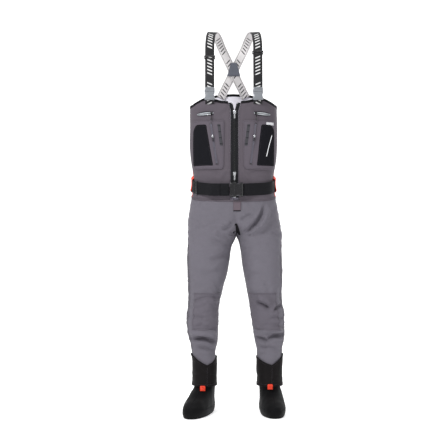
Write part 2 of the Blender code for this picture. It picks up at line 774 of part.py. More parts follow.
# the belt buckle lies on its side: its local z axis points to the wearer's right
belt_turn = Matrix.Rotation(math.radians(-90), 4, "Y")
belt_frame = Matrix.Translation(Vector((0.0040, BELT_Y, BELT_Z))) @ belt_turn
buckle("belt", belt_frame, WIDE, BLACKP, 0.0522)

# ---------------------------------------------------------------- suspenders
LEAN = 9.0  # the front runs lean back by this many degrees
SX = 0.0985
BASE = Vector((SX, -0.1295, 1.300))
SDIR = Vector((0, math.sin(math.radians(LEAN)), math.cos(math.radians(LEAN))))
STRAP_W = 0.038
ADJUSTER_AT = {-1: 0.170, 1: 0.190}


def strap_frame(side, t):
    p = BASE + SDIR * t
    turned = Matrix.Rotation(math.radians(-LEAN), 4, "X")
    return Matrix.Translation(Vector((side * p.x, p.y, p.z))) @ turned


def back_y(z):
    """Depth of the crossed straps' middle behind the back at height z."""
    return 0.0985 + (1.447 - z) * 0.085


def strap_points():
    """Route of a suspender: up the front, over the shoulder, and straight down across the back."""
    p = [BASE + SDIR * t for t in (0.0260, 0.07, 0.12, 0.168, 0.212)]
    p += [Vector(q) for q in ((.0972, -.0860, 1.5380), (.0938, -.0620, 1.5670), (.0868, -.0260, 1.5855),
                              (.0760, .0160, 1.5860), (.0640, .0540, 1.5680), (.0500, .0850, 1.5370))]
    for k in range(1, 7):
        z = 1.537 - 0.209 * k / 6
        p.append(Vector((.050 - .1045 * k / 6, back_y(z), z)))
    return p


def spline(pts, n):
    """Even points along a smooth curve through pts."""
    dense = []
    m = len(pts)
    for i in range(m - 1):
        a, b, c, d = pts[max(i - 1, 0)], pts[i], pts[i + 1], pts[min(i + 2, m - 1)]
        for k in range(12):
            t = k / 12
            dense.append(0.5 * ((2 * b) + (c - a) * t + (2 * a - 5 * b + 4 * c - d) * t * t
                                + (3 * b - a - 3 * c + d) * t ** 3))
    dense.append(pts[-1])
    arr = np.array([tuple(q) for q in dense])
    seg = np.linalg.norm(np.diff(arr, axis=0), axis=1)
    cum = np.concatenate([[0], np.cumsum(seg)])
    t = np.linspace(0, cum[-1], n)
    return np.stack([np.interp(t, cum, arr[:, j]) for j in range(3)], axis=1)


def strap(side):
    n = 49
    path = spline(strap_points(), n)
    tang = np.gradient(path, axis=0)
    tang /= np.linalg.norm(tang, axis=1)[:, None]
    # the outward side turns from the front, over the top, to the back
    over = np.clip((path[:, 1] + 0.095) / 0.17, 0, 1)
    ang = np.radians(-90 - LEAN) + over * math.radians(180 + LEAN - 4)
    wid = np.cross(np.stack([0 * ang, np.sin(ang), np.cos(ang)], axis=1), tang)
    wid /= np.linalg.norm(wid, axis=1)[:, None]
    # one strap lies behind the other where they cross
    path[:, 1] += 0.0016 * side * np.clip((path[:, 1] - 0.02) / 0.05, 0, 1)

    def surf(u, v):
        i = int(round(v * (n - 1)))
        p = path[i] + wid[i] * (u - 0.5) * STRAP_W
        return side * p[0], p[1], p[2]
    return surf, n - 1


for side, word in ((-1, "right"), (1, "left")):
    fn, n = strap(side)
    sheet(f"suspender_strap_{word}", fn, 2, n, 0.0016, WEB, lambda p: (0, -1 if p[1] < 0 else 1, 0), 0.0)
    buckle(f"strap_{word}", strap_frame(side, 0.0220), 0.034, BUCKLE, 0.0400)

    # tab from the top of the bib into the foot of the socket
    def tab(u, v, s=side):
        t = -0.0260 + 0.0230 * v
        p = BASE + SDIR * t
        p.x += (u - 0.5) * 0.036
        floor = on_bib(p.x, min(p.z, 1.285), 0.0022)
        k = min(1.0, max(0.0, (-0.0127 - t) / 0.0125))
        k = k * k * (3 - 2 * k)
        return s * p.x, p.y + (floor.y - p.y) * k, p.z
    sheet(f"strap_tab_{word}", tab, 6, 8, 0.0016, WEB, lambda p: (0, -1, 0), 0.0)
    # adjuster: a frame of three bars round the webbing
    at = strap_frame(side, ADJUSTER_AT[side])
    adjuster = place(box(f"strap_adjuster_{word}", (0.0460, 0.0060, 0.0150), (0, 0, 0), BLACKP), at)
    room = [box(f"strap_adjuster_tunnel_{word}", (0.0400, 0.0026, 0.0300), (0, 0, 0)),
            box(f"strap_adjuster_window_{word}", (0.0360, 0.0060, 0.0050), (0, -0.0040, 0))]
    boolean(adjuster, [place(r, at) for r in room])


def patch(u, v):
    z = 1.420 + 0.056 * v
    half = 0.029 - 0.017 * v
    return 0.002 + (2 * u - 1) * half, back_y(z) - 0.0042, z


sheet("cross_patch", patch, 2, 2, 0.0018, PATCH, lambda p: (0, -1, 0), 1.0)
bpy.context.view_layer.update()

# the trunk was drawn round its own middle: bring the whole object over the origin
TO_ORIGIN = Vector((-0.0028, 0.0371, 0.0))
for ob in list(PARTS.objects) + list(CUTS.objects):
    ob.location = ob.location + TO_ORIGIN
bpy.context.view_layer.update()
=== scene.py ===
"""Chest waders: the looks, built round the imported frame. Metres, +Z up, the wearer faces -Y."""
import math
import bmesh
import bpy
import numpy as np
from mathutils import Matrix, Vector

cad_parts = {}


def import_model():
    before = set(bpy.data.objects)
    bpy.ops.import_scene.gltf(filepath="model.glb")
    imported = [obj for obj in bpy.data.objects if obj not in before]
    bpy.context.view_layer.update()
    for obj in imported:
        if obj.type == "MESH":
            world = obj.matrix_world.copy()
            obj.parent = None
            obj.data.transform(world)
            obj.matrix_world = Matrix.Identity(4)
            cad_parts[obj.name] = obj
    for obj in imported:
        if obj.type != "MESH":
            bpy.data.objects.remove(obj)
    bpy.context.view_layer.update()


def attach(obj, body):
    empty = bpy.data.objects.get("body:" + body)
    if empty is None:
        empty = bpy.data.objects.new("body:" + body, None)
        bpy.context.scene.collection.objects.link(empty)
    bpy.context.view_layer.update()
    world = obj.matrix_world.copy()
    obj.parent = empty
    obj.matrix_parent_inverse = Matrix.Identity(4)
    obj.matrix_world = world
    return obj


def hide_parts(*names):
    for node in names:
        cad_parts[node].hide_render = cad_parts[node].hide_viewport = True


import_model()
ROOT = "waders"
# the trunk's own middle in the row frame: every shape below is drawn round it
OFFSET = Vector((-0.0028, 0.0371, 0.0))


# ================================================================ materials
def srgb(r, g, b):
    return tuple((c / 255) ** 2.2 for c in (r, g, b)) + (1.0,)


class Nodes:
    """A small helper that builds a Principled material from chained nodes."""

    def __init__(self, name, rough, metal=0.0):
        self.mat = bpy.data.materials.new(name)
        self.mat.use_nodes = True
        self.tree = self.mat.node_tree
        self.bsdf = self.tree.nodes["Principled BSDF"]
        self.bsdf.inputs["Roughness"].default_value = rough
        self.bsdf.inputs["Metallic"].default_value = metal

    def add(self, kind, **values):
        node = self.tree.nodes.new(kind)
        for key, value in values.items():
            if hasattr(node, key):
                setattr(node, key, value)
            else:
                node.inputs[key.replace("_", " ")].default_value = value
        return node

    def link(self, a, b):
        self.tree.links.new(a, b)

    def coord(self, scale, uv=False):
        tc = self.add("ShaderNodeTexCoord")
        mp = self.add("ShaderNodeMapping")
        mp.inputs["Scale"].default_value = scale
        self.link(tc.outputs["UV" if uv else "Object"], mp.inputs["Vector"])
        return mp.outputs["Vector"]

    def noise(self, vector, scale, detail=3.0, rough=0.5):
        node = self.add("ShaderNodeTexNoise")
        node.inputs["Scale"].default_value = scale
        node.inputs["Detail"].default_value = detail
        node.inputs["Roughness"].default_value = rough
        self.link(vector, node.inputs["Vector"])
        return node.outputs["Fac"]

    def wave(self, vector, scale, direction="X", distortion=0.0):
        node = self.add("ShaderNodeTexWave")
        node.bands_direction = direction
        node.inputs["Scale"].default_value = scale
        node.inputs["Distortion"].default_value = distortion
        self.link(vector, node.inputs["Vector"])
        return node.outputs["Fac"]

    def math(self, op, a, b=0.5, clamp=False):
        node = self.add("ShaderNodeMath")
        node.operation = op
        node.use_clamp = clamp
        for socket, value in ((node.inputs[0], a), (node.inputs[1], b)):
            if isinstance(value, (int, float)):
                socket.default_value = value
            else:
                self.link(value, socket)
        return node.outputs[0]

    def mix(self, fac, a, b):
        node = self.add("ShaderNodeMix")
        node.data_type = "RGBA"
        for socket, value in ((node.inputs[0], fac), (node.inputs[6], a), (node.inputs[7], b)):
            if isinstance(value, (int, float, tuple)):
                socket.default_value = value
            else:
                self.link(value, socket)
        return node.outputs[2]

    def color(self, value):
        if isinstance(value, tuple):
            self.bsdf.inputs["Base Color"].default_value = value
        else:
            self.link(value, self.bsdf.inputs["Base Color"])

    def bump(self, height, strength, distance):
        node = self.add("ShaderNodeBump")
        node.inputs["Strength"].default_value = strength
        node.inputs["Distance"].default_value = distance
        self.link(height, node.inputs["Height"])
        self.link(node.outputs["Normal"], self.bsdf.inputs["Normal"])


def shade(rgb, k):
    return tuple(min(1.0, c * k) for c in rgb[:3]) + (1.0,)


def cloth(name, rgb, rough=0.78, weave=900.0, depth=0.00025, mottle=0.10, sheen=0.04, shine=0.22):
    """Woven laminate: crossed threads at the right pitch, with a faint mottle and soft scuffs."""
    n = Nodes(name, rough)
    vec = n.coord((1, 1, 1))
    a = n.wave(vec, weave / 6.0, "X", 0.4)
    b = n.wave(vec, weave / 6.0, "Z", 0.4)
    threads = n.math("MULTIPLY", a, b)
    cloud = n.noise(vec, 9.0, 4.0)
    fine = n.noise(vec, 260.0, 2.0)
    base = n.mix(cloud, shade(rgb, 1 - mottle), shade(rgb, 1 + mottle))
    grain = n.mix(n.math("MULTIPLY", fine, 0.5), base, shade(rgb, 0.72))
    n.color(n.mix(n.math("MULTIPLY", threads, 0.35), grain, shade(rgb, 1.18)))
    rough_mix = n.math("ADD", n.math("MULTIPLY", cloud, 0.16), rough - 0.08)
    n.link(rough_mix, n.bsdf.inputs["Roughness"])
    n.bsdf.inputs["Sheen Weight"].default_value = sheen
    n.bsdf.inputs["Sheen Roughness"].default_value = 0.4
    n.bsdf.inputs["Specular IOR Level"].default_value = shine
    n.bump(n.math("ADD", threads, n.math("MULTIPLY", fine, 0.6)), 0.35, depth)
    return n.mat


def neoprene(name, rgb, rough=0.72):
    """Jersey-faced foam rubber: tiny knit columns over a soft orange-peel."""
    n = Nodes(name, rough)
    vec = n.coord((1, 1, 1))
    knit = n.wave(vec, 190.0, "Z", 1.6)
    peel = n.noise(vec, 120.0, 3.0)
    cloud = n.noise(vec, 14.0, 3.0)
    n.color(n.mix(cloud, shade(rgb, 0.75), shade(rgb, 1.3)))
    n.bsdf.inputs["Sheen Weight"].default_value = 0.03
    n.bsdf.inputs["Sheen Roughness"].default_value = 0.35
    n.bsdf.inputs["Specular IOR Level"].default_value = 0.16
    n.bump(n.math("ADD", n.math("MULTIPLY", knit, 0.5), peel), 0.4, 0.0004)
    return n.mat


def plastic(name, rgb, rough=0.32, coat=0.25):
    """Moulded acetal: fine texture, faint flow marks and lighter rubbed patches."""
    n = Nodes(name, rough)
    vec = n.coord((1, 1, 1))
    grain = n.noise(vec, 900.0, 2.0)
    flow = n.noise(vec, 35.0, 3.0)
    n.color(n.mix(flow, shade(rgb, 0.86), shade(rgb, 1.16)))
    n.link(n.math("ADD", n.math("MULTIPLY", flow, 0.18), rough - 0.09), n.bsdf.inputs["Roughness"])
    n.bsdf.inputs["Coat Weight"].default_value = coat
    n.bsdf.inputs["Coat Roughness"].default_value = 0.15
    n.bump(grain, 0.15, 0.0001)
    return n.mat


def metal(name, rgb, rough=0.28):
    n = Nodes(name, rough, 1.0)
    vec = n.coord((1, 1, 6))
    brush = n.noise(vec, 420.0, 2.0)
    n.color(n.mix(brush, shade(rgb, 0.85), shade(rgb, 1.1)))
    n.link(n.math("ADD", n.math("MULTIPLY", brush, 0.2), rough - 0.1), n.bsdf.inputs["Roughness"])
    n.bump(brush, 0.1, 0.00008)
    return n.mat


def webbing(name, rgb, rough=0.7):
    """Plain woven belt webbing: ribs across, chevron threads along. UVs are in metres."""
    n = Nodes(name, rough)
    uv = n.coord((1, 1, 1), uv=True)
    ribs = n.wave(uv, 190.0, "Y", 0.0)
    cords = n.wave(uv, 130.0, "X", 0.0)
    weave = n.math("MULTIPLY", ribs, cords)
    cloud = n.noise(uv, 25.0, 3.0)
    n.color(n.mix(weave, shade(rgb, 0.6), n.mix(cloud, shade(rgb, 1.0), shade(rgb, 1.3))))
    n.bsdf.inputs["Sheen Weight"].default_value = 0.03
    n.bsdf.inputs["Specular IOR Level"].default_value = 0.15
    n.bump(weave, 0.6, 0.0004)
    return n.mat


def motif_webbing(name, ground, motif, edge, edge_at, phase):
    """Elastic with a woven motif of slanted dashes, in UV metres: u across (0..0.038), v along."""
    n = Nodes(name, 0.72)
    tc = n.add("ShaderNodeTexCoord")
    sep = n.add("ShaderNodeSeparateXYZ")
    n.link(tc.outputs["UV"], sep.inputs[0])
    u, v = sep.outputs[0], sep.outputs[1]
    lean = n.math("ADD", v, n.math("MULTIPLY", u, 0.42))
    # dashes of 5 mm in a 14 mm step: six in a row, then a gap of two steps
    step = n.math("MODULO", n.math("ADD", lean, 10.0 + phase), 0.0140)
    bar = n.math("LESS_THAN", step, 0.0050)
    run = n.math("MODULO", n.math("ADD", lean, 10.0 + phase), 0.1120)
    group = n.math("LESS_THAN", run, 0.0800)
    far = n.math("ABSOLUTE", n.math("SUBTRACT", u, 0.0190))
    band = n.math("LESS_THAN", far, 0.0098)
    mark = n.math("MULTIPLY", n.math("MULTIPLY", bar, group), band)
    line = n.math("MULTIPLY", n.math("GREATER_THAN", far, edge_at),
                  n.math("LESS_THAN", far, edge_at + 0.0016))
    uv = tc.outputs["UV"]
    ribs = n.wave(uv, 230.0, "Y", 0.0)
    cords = n.wave(uv, 260.0, "X", 0.0)
    weave = n.math("MULTIPLY", ribs, cords)
    cloud = n.noise(uv, 40.0, 2.0)
    col = n.mix(mark, n.mix(cloud, shade(ground, 0.9), shade(ground, 1.12)), motif)
    col = n.mix(line, col, edge)
    n.color(n.mix(n.math("MULTIPLY", weave, 0.35), col, shade(ground, 0.55)))
    n.bsdf.inputs["Sheen Weight"].default_value = 0.04
    n.bsdf.inputs["Specular IOR Level"].default_value = 0.2
    n.bump(n.math("ADD", weave, n.math("MULTIPLY", mark, 0.8)), 0.5, 0.0003)
    return n.mat


BIB = cloth("bib_laminate", srgb(86, 80, 87))
# the pockets take a slightly lighter copy of the bib cloth: painted light, for the key lamp falling on them
POCKET_LIT_CLOTH = cloth("pocket_laminate_lit_copy", srgb(89, 83, 91))
LEG = cloth("leg_laminate", srgb(102, 99, 107), mottle=0.14)
# a darker tone of the leg cloth, laid in a strip along the outer edge of each leg below 0.70 m
LEG_DARK = cloth("leg_outer_strip_darker", srgb(80, 77, 84))
KNEE = cloth("knee_laminate", srgb(95, 91, 99), mottle=0.14)
FLY = cloth("fly_laminate", srgb(98, 88, 95))
LINING = cloth("white_lining", srgb(230, 228, 236), 0.7, 700.0, 0.0002, 0.04)
PANEL = cloth("fleece_panel", srgb(28, 28, 32), 0.9, 420.0, 0.0006, 0.12, 0.0, 0.1)
DOCK = cloth("dock_cloth", srgb(70, 70, 74), 0.85, 500.0, 0.0005, 0.1, 0.0, 0.1)
ORANGE = cloth("orange_laminate", srgb(236, 72, 46), 0.7)
BINDING = cloth("edge_binding", srgb(26, 25, 28), 0.8, 1200.0, 0.0003, 0.1, 0.0, 0.12)
TAPE = cloth("zip_tape_cloth", srgb(28, 29, 32), 0.55, 1400.0, 0.0002, 0.08, 0.0, 0.15)
GUARD = neoprene("guard_neoprene", srgb(20, 17, 18))
SOCK = neoprene("sock_neoprene", srgb(9, 9, 12), 0.74)
SOLE = neoprene("sole_neoprene", srgb(15, 15, 18), 0.84)
BELT = webbing("belt_webbing", srgb(25, 25, 29))
STRAP_FACE = motif_webbing("strap_face", srgb(36, 36, 38), srgb(214, 214, 214), srgb(52, 52, 54), 0.0168,
                           0.0)
STRAP_BACK = motif_webbing("strap_reverse", srgb(214, 211, 211), srgb(56, 54, 58), srgb(100, 98, 99),
                           0.0132, 0.03)
PATCH = cloth("cross_patch_cloth", srgb(102, 105, 115), 0.55, 300.0, 0.0008, 0.05, 0.0, 0.3)
GREY = plastic("grey_acetal", srgb(118, 121, 126), 0.2, 0.5)
BLACK = plastic("black_acetal", srgb(24, 24, 27), 0.26, 0.3)
ENAMEL = plastic("orange_enamel", srgb(228, 66, 42), 0.4, 0.15)
SILVER = metal("silver_metal", srgb(222, 224, 228), 0.22)
GUNMETAL = metal("gunmetal", srgb(120, 122, 128), 0.3)
RUBBER = plastic("zip_rubber", srgb(24, 26, 28), 0.3, 0.3)
LIP = plastic("pocket_zip_rubber", srgb(84, 82, 92), 0.24, 0.4)
# pale colour of the top zips' middle: a painted highlight, standing for the shine of the glossy zip
ZIP_PAINTED_HIGHLIGHT = plastic("zip_painted_highlight", srgb(172, 176, 182), 0.14, 0.8)
REFLECT = plastic("reflective_film", srgb(232, 234, 236), 0.35, 0.3)
THREAD = cloth("thread", srgb(62, 58, 64), 0.6, 3000.0, 0.0001)
LABEL = cloth("blank_label", srgb(208, 208, 212), 0.6)


# ================================================================ shapes
def curve(x, xs, ys):
    """Smooth curve through the points (xs rising), for arrays."""
    x = np.clip(np.asarray(x, float), xs[0], xs[-1])
    xs, ys = np.asarray(xs, float), np.asarray(ys, float)
    h = np.diff(xs)
    d = np.diff(ys) / h
    m = np.zeros(len(xs))
    m[0], m[-1] = d[0], d[-1]
    for i in range(1, len(xs) - 1):
        m[i] = 0.0 if d[i - 1] * d[i] <= 0 else 2 * d[i - 1] * d[i] / (d[i - 1] + d[i])
    i = np.clip(np.searchsorted(xs, x, side="right") - 1, 0, len(xs) - 2)
    t = (x - xs[i]) / h[i]
    return ((2 * t**3 - 3 * t**2 + 1) * ys[i] + (t**3 - 2 * t**2 + t) * h[i] * m[i]
            + (-2 * t**3 + 3 * t**2) * ys[i + 1] + (t**3 - t**2) * h[i] * m[i + 1])


def smooth(x, a, b):
    t = np.clip((np.asarray(x, float) - a) / (b - a), 0, 1)
    return t * t * (3 - 2 * t)


ZIP_X = 0.003
POWER = 2.8


def half_width(z):
    return curve(z, [.745, .80, .895, .953, 1.07, 1.13, 1.28, 1.345],
                 [.190, .188, .176, .166, .180, .183, .181, .177])


def front(z):
    z = np.asarray(z, float)
    return np.where(z > 0.80, 0.118 + (z - 0.885) * 0.0251, 0.1159 - (0.80 - z) * 0.05)


def back(z):
    return curve(z, [.745, .80, .953, 1.345], [.117, .118, .107, .121])


def section(psi, cx, w, bf, bb, n):
    """Point at polar angle psi of a section; 0 is the outer side, 90 degrees the front."""
    c, s = np.cos(psi), np.sin(psi)
    r = (np.abs(c) ** n + np.abs(s) ** n) ** (-1 / n)
    return cx + w * r * c, -np.where(s >= 0, bf, bb) * r * s


def trunk(z, psi):
    return section(psi, 0.0, half_width(z), front(z), back(z), POWER)


def psi_at(x, z):
    """Front angle where the trunk is x from the middle."""
    k = np.clip(np.asarray(x, float) / half_width(z), -1, 1)
    return np.arctan2((1 - np.abs(k) ** POWER) ** (1 / POWER), k)


def front_y(x, z):
    a = half_width(z)
    return -front(z) * np.maximum(0.0, 1 - np.minimum(1.0, np.abs(x) / a) ** POWER) ** (1 / POWER)


def collar(x):
    return curve(np.abs(x), [0, .05, .085, .115, .145, .172], [1.283, 1.287, 1.296, 1.299, 1.289, 1.276])


def nape(x):
    return curve(np.abs(x), [0, .06, .11, .15, .172], [1.345, 1.342, 1.326, 1.298, 1.276])


OUT = {
    -1: ([.0, .197, .273, .373, .474, .676, .751, .802, .90],
         [.170, .168, .1785, .194, .188, .195, .190, .188, .175]),
    1: ([.0, .197, .273, .323, .373, .474, .676, .90],
        [.203, .201, .205, .211, .212, .202, .2035, .175]),
}
IN = {
    -1: ([.0, .197, .247, .298, .424, .525, .575, .625, .676, .7405],
         [.0735, .0735, .077, .067, .063, .043, .028, .019, .013, -.012]),
    1: ([.0, .247, .298, .474, .625, .676, .726, .7405],
        [.1035, .0995, .090, .063, .036, .030, .0185, .012]),
}
CROTCH = 0.7405
HIP = 0.885


def mid_x(z):
    return curve(z, [.7405, .80, .86, .90], [.012, .008, .004, .003])


def leg_dims(side, z):
    z = np.asarray(z, float)
    o = curve(z, *OUT[side])
    low = curve(z, *IN[side])
    f = np.clip((z - CROTCH) / (HIP - CROTCH), 0, 1)
    m = mid_x(z) * side
    high = m - f ** 1.15 * (half_width(z) + m)
    i = np.where(z <= CROTCH, low, high)
    a = half_width(z)
    o = np.where(z < .852, o, a + (o - a) * np.clip((.88 - z) / .028, 0, 1))
    bf = curve(z, [.0, .20, .47, .55, .80, .90], [.056, .056, .094, .099, .1159, .1184])
    bb = curve(z, [.0, .25, .32, .40, .47, .55, .80, .90],
               [.060, .062, .070, .068, .058, .072, .116, .1105])
    n = curve(z, [.0, .65, .75, .90], [2.25, 2.3, 2.45, 2.8])
    return (o + i) / 2, (o - i) / 2, bf, bb, n


def leg_cut(side, z):
    """Angle of the inseam, or of the middle seam above the crotch."""
    cx, w, _, _, n = leg_dims(side, z)
    k = np.clip((side * mid_x(z) - cx) / w, -1, 1)
    y = (1 - np.abs(k) ** n) ** (1 / n)
    return np.where(np.asarray(z) <= CROTCH, math.pi, np.arctan2(y, k))


# ================================================================ mesh helpers
def obj(name, verts, faces, mats, uvs=None, face_mats=None, smooth_shade=True):
    me = bpy.data.meshes.new(name)
    me.from_pydata([tuple(v) for v in verts], [], faces)
    for m in mats:
        me.materials.append(m)
    if face_mats is not None:
        me.polygons.foreach_set("material_index", np.asarray(face_mats, dtype=np.int32))
    if uvs is not None:
        layer = me.uv_layers.new(name="UVMap")
        idx = np.empty(len(me.loops), dtype=np.int32)
        me.loops.foreach_get("vertex_index", idx)
        layer.data.foreach_set("uv", np.asarray(uvs, dtype=np.float32)[idx].ravel())
    if smooth_shade:
        me.polygons.foreach_set("use_smooth", [True] * len(me.polygons))
    me.update()
    ob = bpy.data.objects.new(name, me)
    bpy.context.scene.collection.objects.link(ob)
    return ob


def finish_piece(ob, body, slot, *nodes):
    """Moves the piece into the row frame, hangs it on the body it rides on and hides the frame parts it
    stands for; the slot is not used.
    """
    ob.data.transform(ob.matrix_world)
    ob.matrix_world = Matrix.Identity(4)
    ob.data.transform(Matrix.Translation(OFFSET))
    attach(ob, body)
    if nodes:
        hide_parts(*nodes)
    return ob


def normals_of(P, wrap=False):
    """Unit normals of a grid of points (rows, columns, 3)."""
    if wrap:
        du = np.roll(P, -1, axis=1) - np.roll(P, 1, axis=1)
    else:
        du = np.gradient(P, axis=1)
    dv = np.gradient(P, axis=0)
    n = np.cross(du, dv)
    ln = np.linalg.norm(n, axis=2, keepdims=True)
    return n / np.maximum(ln, 1e-12)


def grid_faces(rows, cols, wrap=False, flip=False):
    out = []
    last = cols if wrap else cols - 1
    for j in range(rows - 1):
        for i in range(last):
            a, b = j * cols + i, j * cols + (i + 1) % cols
            q = (a, b, b + cols, a + cols)
            out.append(q[::-1] if flip else q)
    return out


def shell(name, P, thick, mats, wrap=False, outward=None, uvs=None, inner_mat=False, face_mats=None):
    """Surface with a thickness behind it; outward(points) gives the outward direction."""
    rows, cols = P.shape[:2]
    n = normals_of(P, wrap)
    ref = outward(P)
    flip = float(np.sum(n * ref)) < 0
    ob = obj(name, P.reshape(-1, 3), grid_faces(rows, cols, wrap, flip), mats, uvs, face_mats)
    if thick:
        m = ob.modifiers.new("thickness", "SOLIDIFY")
        m.thickness = thick
        m.offset = -1.0
        m.use_rim = True
        if inner_mat:
            m.material_offset = 1
    return ob


def radial(P):
    r = P.copy()
    r[..., 2] = 0
    return r


def forward(P):
    r = np.zeros_like(P)
    r[..., 1] = -1
    return r


def sweep(name, path, across, out, profile, mats, closed=False, uv_scale=None, cap=True, face_mats=None):
    """Runs a closed profile of (across, out) points along a path with its own directions."""
    path, across, out = (np.asarray(a, float) for a in (path, across, out))
    k, n = len(profile), len(path)
    pr = np.asarray(profile, float)
    P = path[:, None, :] + across[:, None, :] * pr[None, :, 0, None] + out[:, None, :] * pr[None, :, 1,
                                                                                            None]
    verts = P.reshape(-1, 3)
    faces = []
    fm = []
    for j in range(n if closed else n - 1):
        for i in range(k):
            a, b = j * k + i, j * k + (i + 1) % k
            c, d = ((j + 1) % n) * k + (i + 1) % k, ((j + 1) % n) * k + i
            faces.append((a, b, c, d))
            fm.append(face_mats[i] if face_mats else 0)
    if cap and not closed:
        faces.append(tuple(range(k))[::-1])
        faces.append(tuple((n - 1) * k + i for i in range(k)))
        fm += [0, 0]
    uvs = None
    if uv_scale is not None:
        seg = np.linalg.norm(np.diff(path, axis=0), axis=1)
        cum = np.concatenate([[0], np.cumsum(seg)])
        uvs = np.stack([np.repeat((pr[:, 0] + uv_scale / 2)[None, :], n, 0).ravel(), np.repeat(cum, k)],
                       axis=1)
    ob = obj(name, verts, faces, mats, uvs, fm)
    me = ob.data
    bm = bmesh.new()
    bm.from_mesh(me)
    bmesh.ops.recalc_face_normals(bm, faces=bm.faces)
    bm.to_mesh(me)
    bm.free()
    return ob


def flat_profile(w, t, r_seg=3):
    """Cross-section of webbing: flat with rounded edges."""
    pts = []
    r = t / 2
    for side in (1, -1):
        for k in range(r_seg * 2 + 1):
            a = -math.pi / 2 + math.pi * k / (r_seg * 2)
            pts.append((side * (w / 2 - r + r * math.cos(a)), side * r * math.sin(a)))
    return pts


class Build:
    """Collects bevelled solids into one mesh."""

    def __init__(self, name, mats):
        self.name, self.mats, self.bm = name, mats, bmesh.new()

    def _place(self, geom, mat4, index):
        verts = [g for g in geom if isinstance(g, bmesh.types.BMVert)]
        bmesh.ops.transform(self.bm, matrix=mat4, verts=verts)
        faces = {f for v in verts for f in v.link_faces}
        for f in faces:
            f.material_index = index
            f.smooth = True
        return self

    def box(self, size, centre, rot=None, bevel=0.0006, seg=2, index=0, taper=1.0):
        r = bmesh.ops.create_cube(self.bm, size=1.0)
        bmesh.ops.scale(self.bm, vec=Vector(size), verts=r["verts"])
        for v in r["verts"]:
            if v.co.z > 0:
                v.co.x *= taper
        edges = list({e for v in r["verts"] for e in v.link_edges})
        out = bmesh.ops.bevel(self.bm, geom=edges, offset=min(bevel, min(size) * 0.45), segments=seg,
                              profile=0.6,
                              affect="EDGES", clamp_overlap=True)
        vs = list({v for f in out["faces"] for v in f.verts} | {v for v in r["verts"] if v.is_valid})
        m = Matrix.Translation(Vector(centre)) @ (rot or Matrix.Identity(4))
        return self._place(vs, m, index)

    def rod(self, radius, length, centre, axis=(0, 0, 1), seg=20, index=0, r2=None, bevel=0.0003):
        r = bmesh.ops.create_cone(self.bm, cap_ends=True, segments=seg, radius1=radius,
                                  radius2=radius if r2 is None else r2, depth=length)
        edges = [e for e in {e for v in r["verts"] for e in v.link_edges}
                 if len(e.link_faces) == 2 and e.calc_face_angle(0) > 0.9]
        vs = set(r["verts"])
        if bevel:
            out = bmesh.ops.bevel(self.bm, geom=edges, offset=bevel, segments=2, profile=0.5,
                                  affect="EDGES")
            vs = {v for f in out["faces"] for v in f.verts} | {v for v in r["verts"] if v.is_valid}
        q = Vector((0, 0, 1)).rotation_difference(Vector(axis).normalized()).to_matrix().to_4x4()
        return self._place(list(vs), Matrix.Translation(Vector(centre)) @ q, index)

    def plate(self, outline, thick, centre=(0, 0, 0), rot=None, bevel=0.0006, index=0):
        """Flat outline in x and z, thick along y, with bevelled edges."""
        top = [self.bm.verts.new((x, -thick / 2, z)) for x, z in outline]
        f = self.bm.faces.new(top)
        ext = bmesh.ops.extrude_face_region(self.bm, geom=[f])
        vs = [g for g in ext["geom"] if isinstance(g, bmesh.types.BMVert)]
        bmesh.ops.translate(self.bm, vec=(0, thick, 0), verts=vs)
        allv = set(top) | set(vs)
        edges = [e for e in {e for v in allv for e in v.link_edges}
                 if len(e.link_faces) == 2 and e.calc_face_angle(0) > 1.0]
        out = bmesh.ops.bevel(self.bm, geom=edges, offset=bevel, segments=2, profile=0.6, affect="EDGES")
        allv = {v for v in allv if v.is_valid} | {v for fc in out["faces"] for v in fc.verts}
        m = Matrix.Translation(Vector(centre)) @ (rot or Matrix.Identity(4))
        return self._place(list(allv), m, index)

    def ring(self, major, minor, centre, rot=None, seg=28, sides=10, index=0, squash=(1, 1, 1)):
        verts = []
        for i in range(seg):
            a = 2 * math.pi * i / seg
            row = []
            for j in range(sides):
                b = 2 * math.pi * j / sides
                r = major + minor * math.cos(b)
                row.append(self.bm.verts.new((r * math.cos(a) * squash[0], minor * math.sin(b) * squash[1],
                                              r * math.sin(a) * squash[2])))
            verts.append(row)
        for i in range(seg):
            for j in range(sides):
                self.bm.faces.new((verts[i][j], verts[(i + 1) % seg][j],
                                   verts[(i + 1) % seg][(j + 1) % sides],
                                   verts[i][(j + 1) % sides]))
        m = Matrix.Translation(Vector(centre)) @ (rot or Matrix.Identity(4))
        return self._place([v for row in verts for v in row], m, index)

    def tube(self, pts, radius, sides=8, index=0):
        pts = [Vector(p) for p in pts]
        rows = []
        prev = None
        for i, p in enumerate(pts):
            t = (pts[min(i + 1, len(pts) - 1)] - pts[max(i - 1, 0)]).normalized()
            if prev is None:
                n = t.orthogonal().normalized()
            else:
                n = (prev - t * prev.dot(t)).normalized()
            prev = n
            b = t.cross(n)
            rows.append([self.bm.verts.new(p + (n * math.cos(2 * math.pi * k / sides)
                                                + b * math.sin(2 * math.pi * k / sides)) * radius)
                         for k in range(sides)])
        for i in range(len(rows) - 1):
            for k in range(sides):
                self.bm.faces.new((rows[i][k], rows[i][(k + 1) % sides], rows[i + 1][(k + 1) % sides],
                                   rows[i + 1][k]))
        self.bm.faces.new(rows[0][::-1])
        self.bm.faces.new(rows[-1])
        return self._place([v for r in rows for v in r], Matrix.Identity(4), index)

    def done(self, mat4=None):
        bmesh.ops.recalc_face_normals(self.bm, faces=self.bm.faces)
        me = bpy.data.meshes.new(self.name)
        self.bm.to_mesh(me)
        self.bm.free()
        for m in self.mats:
            me.materials.append(m)
        ob = bpy.data.objects.new(self.name, me)
        bpy.context.scene.collection.objects.link(ob)
        if mat4 is not None:
            ob.matrix_world = mat4
        return ob


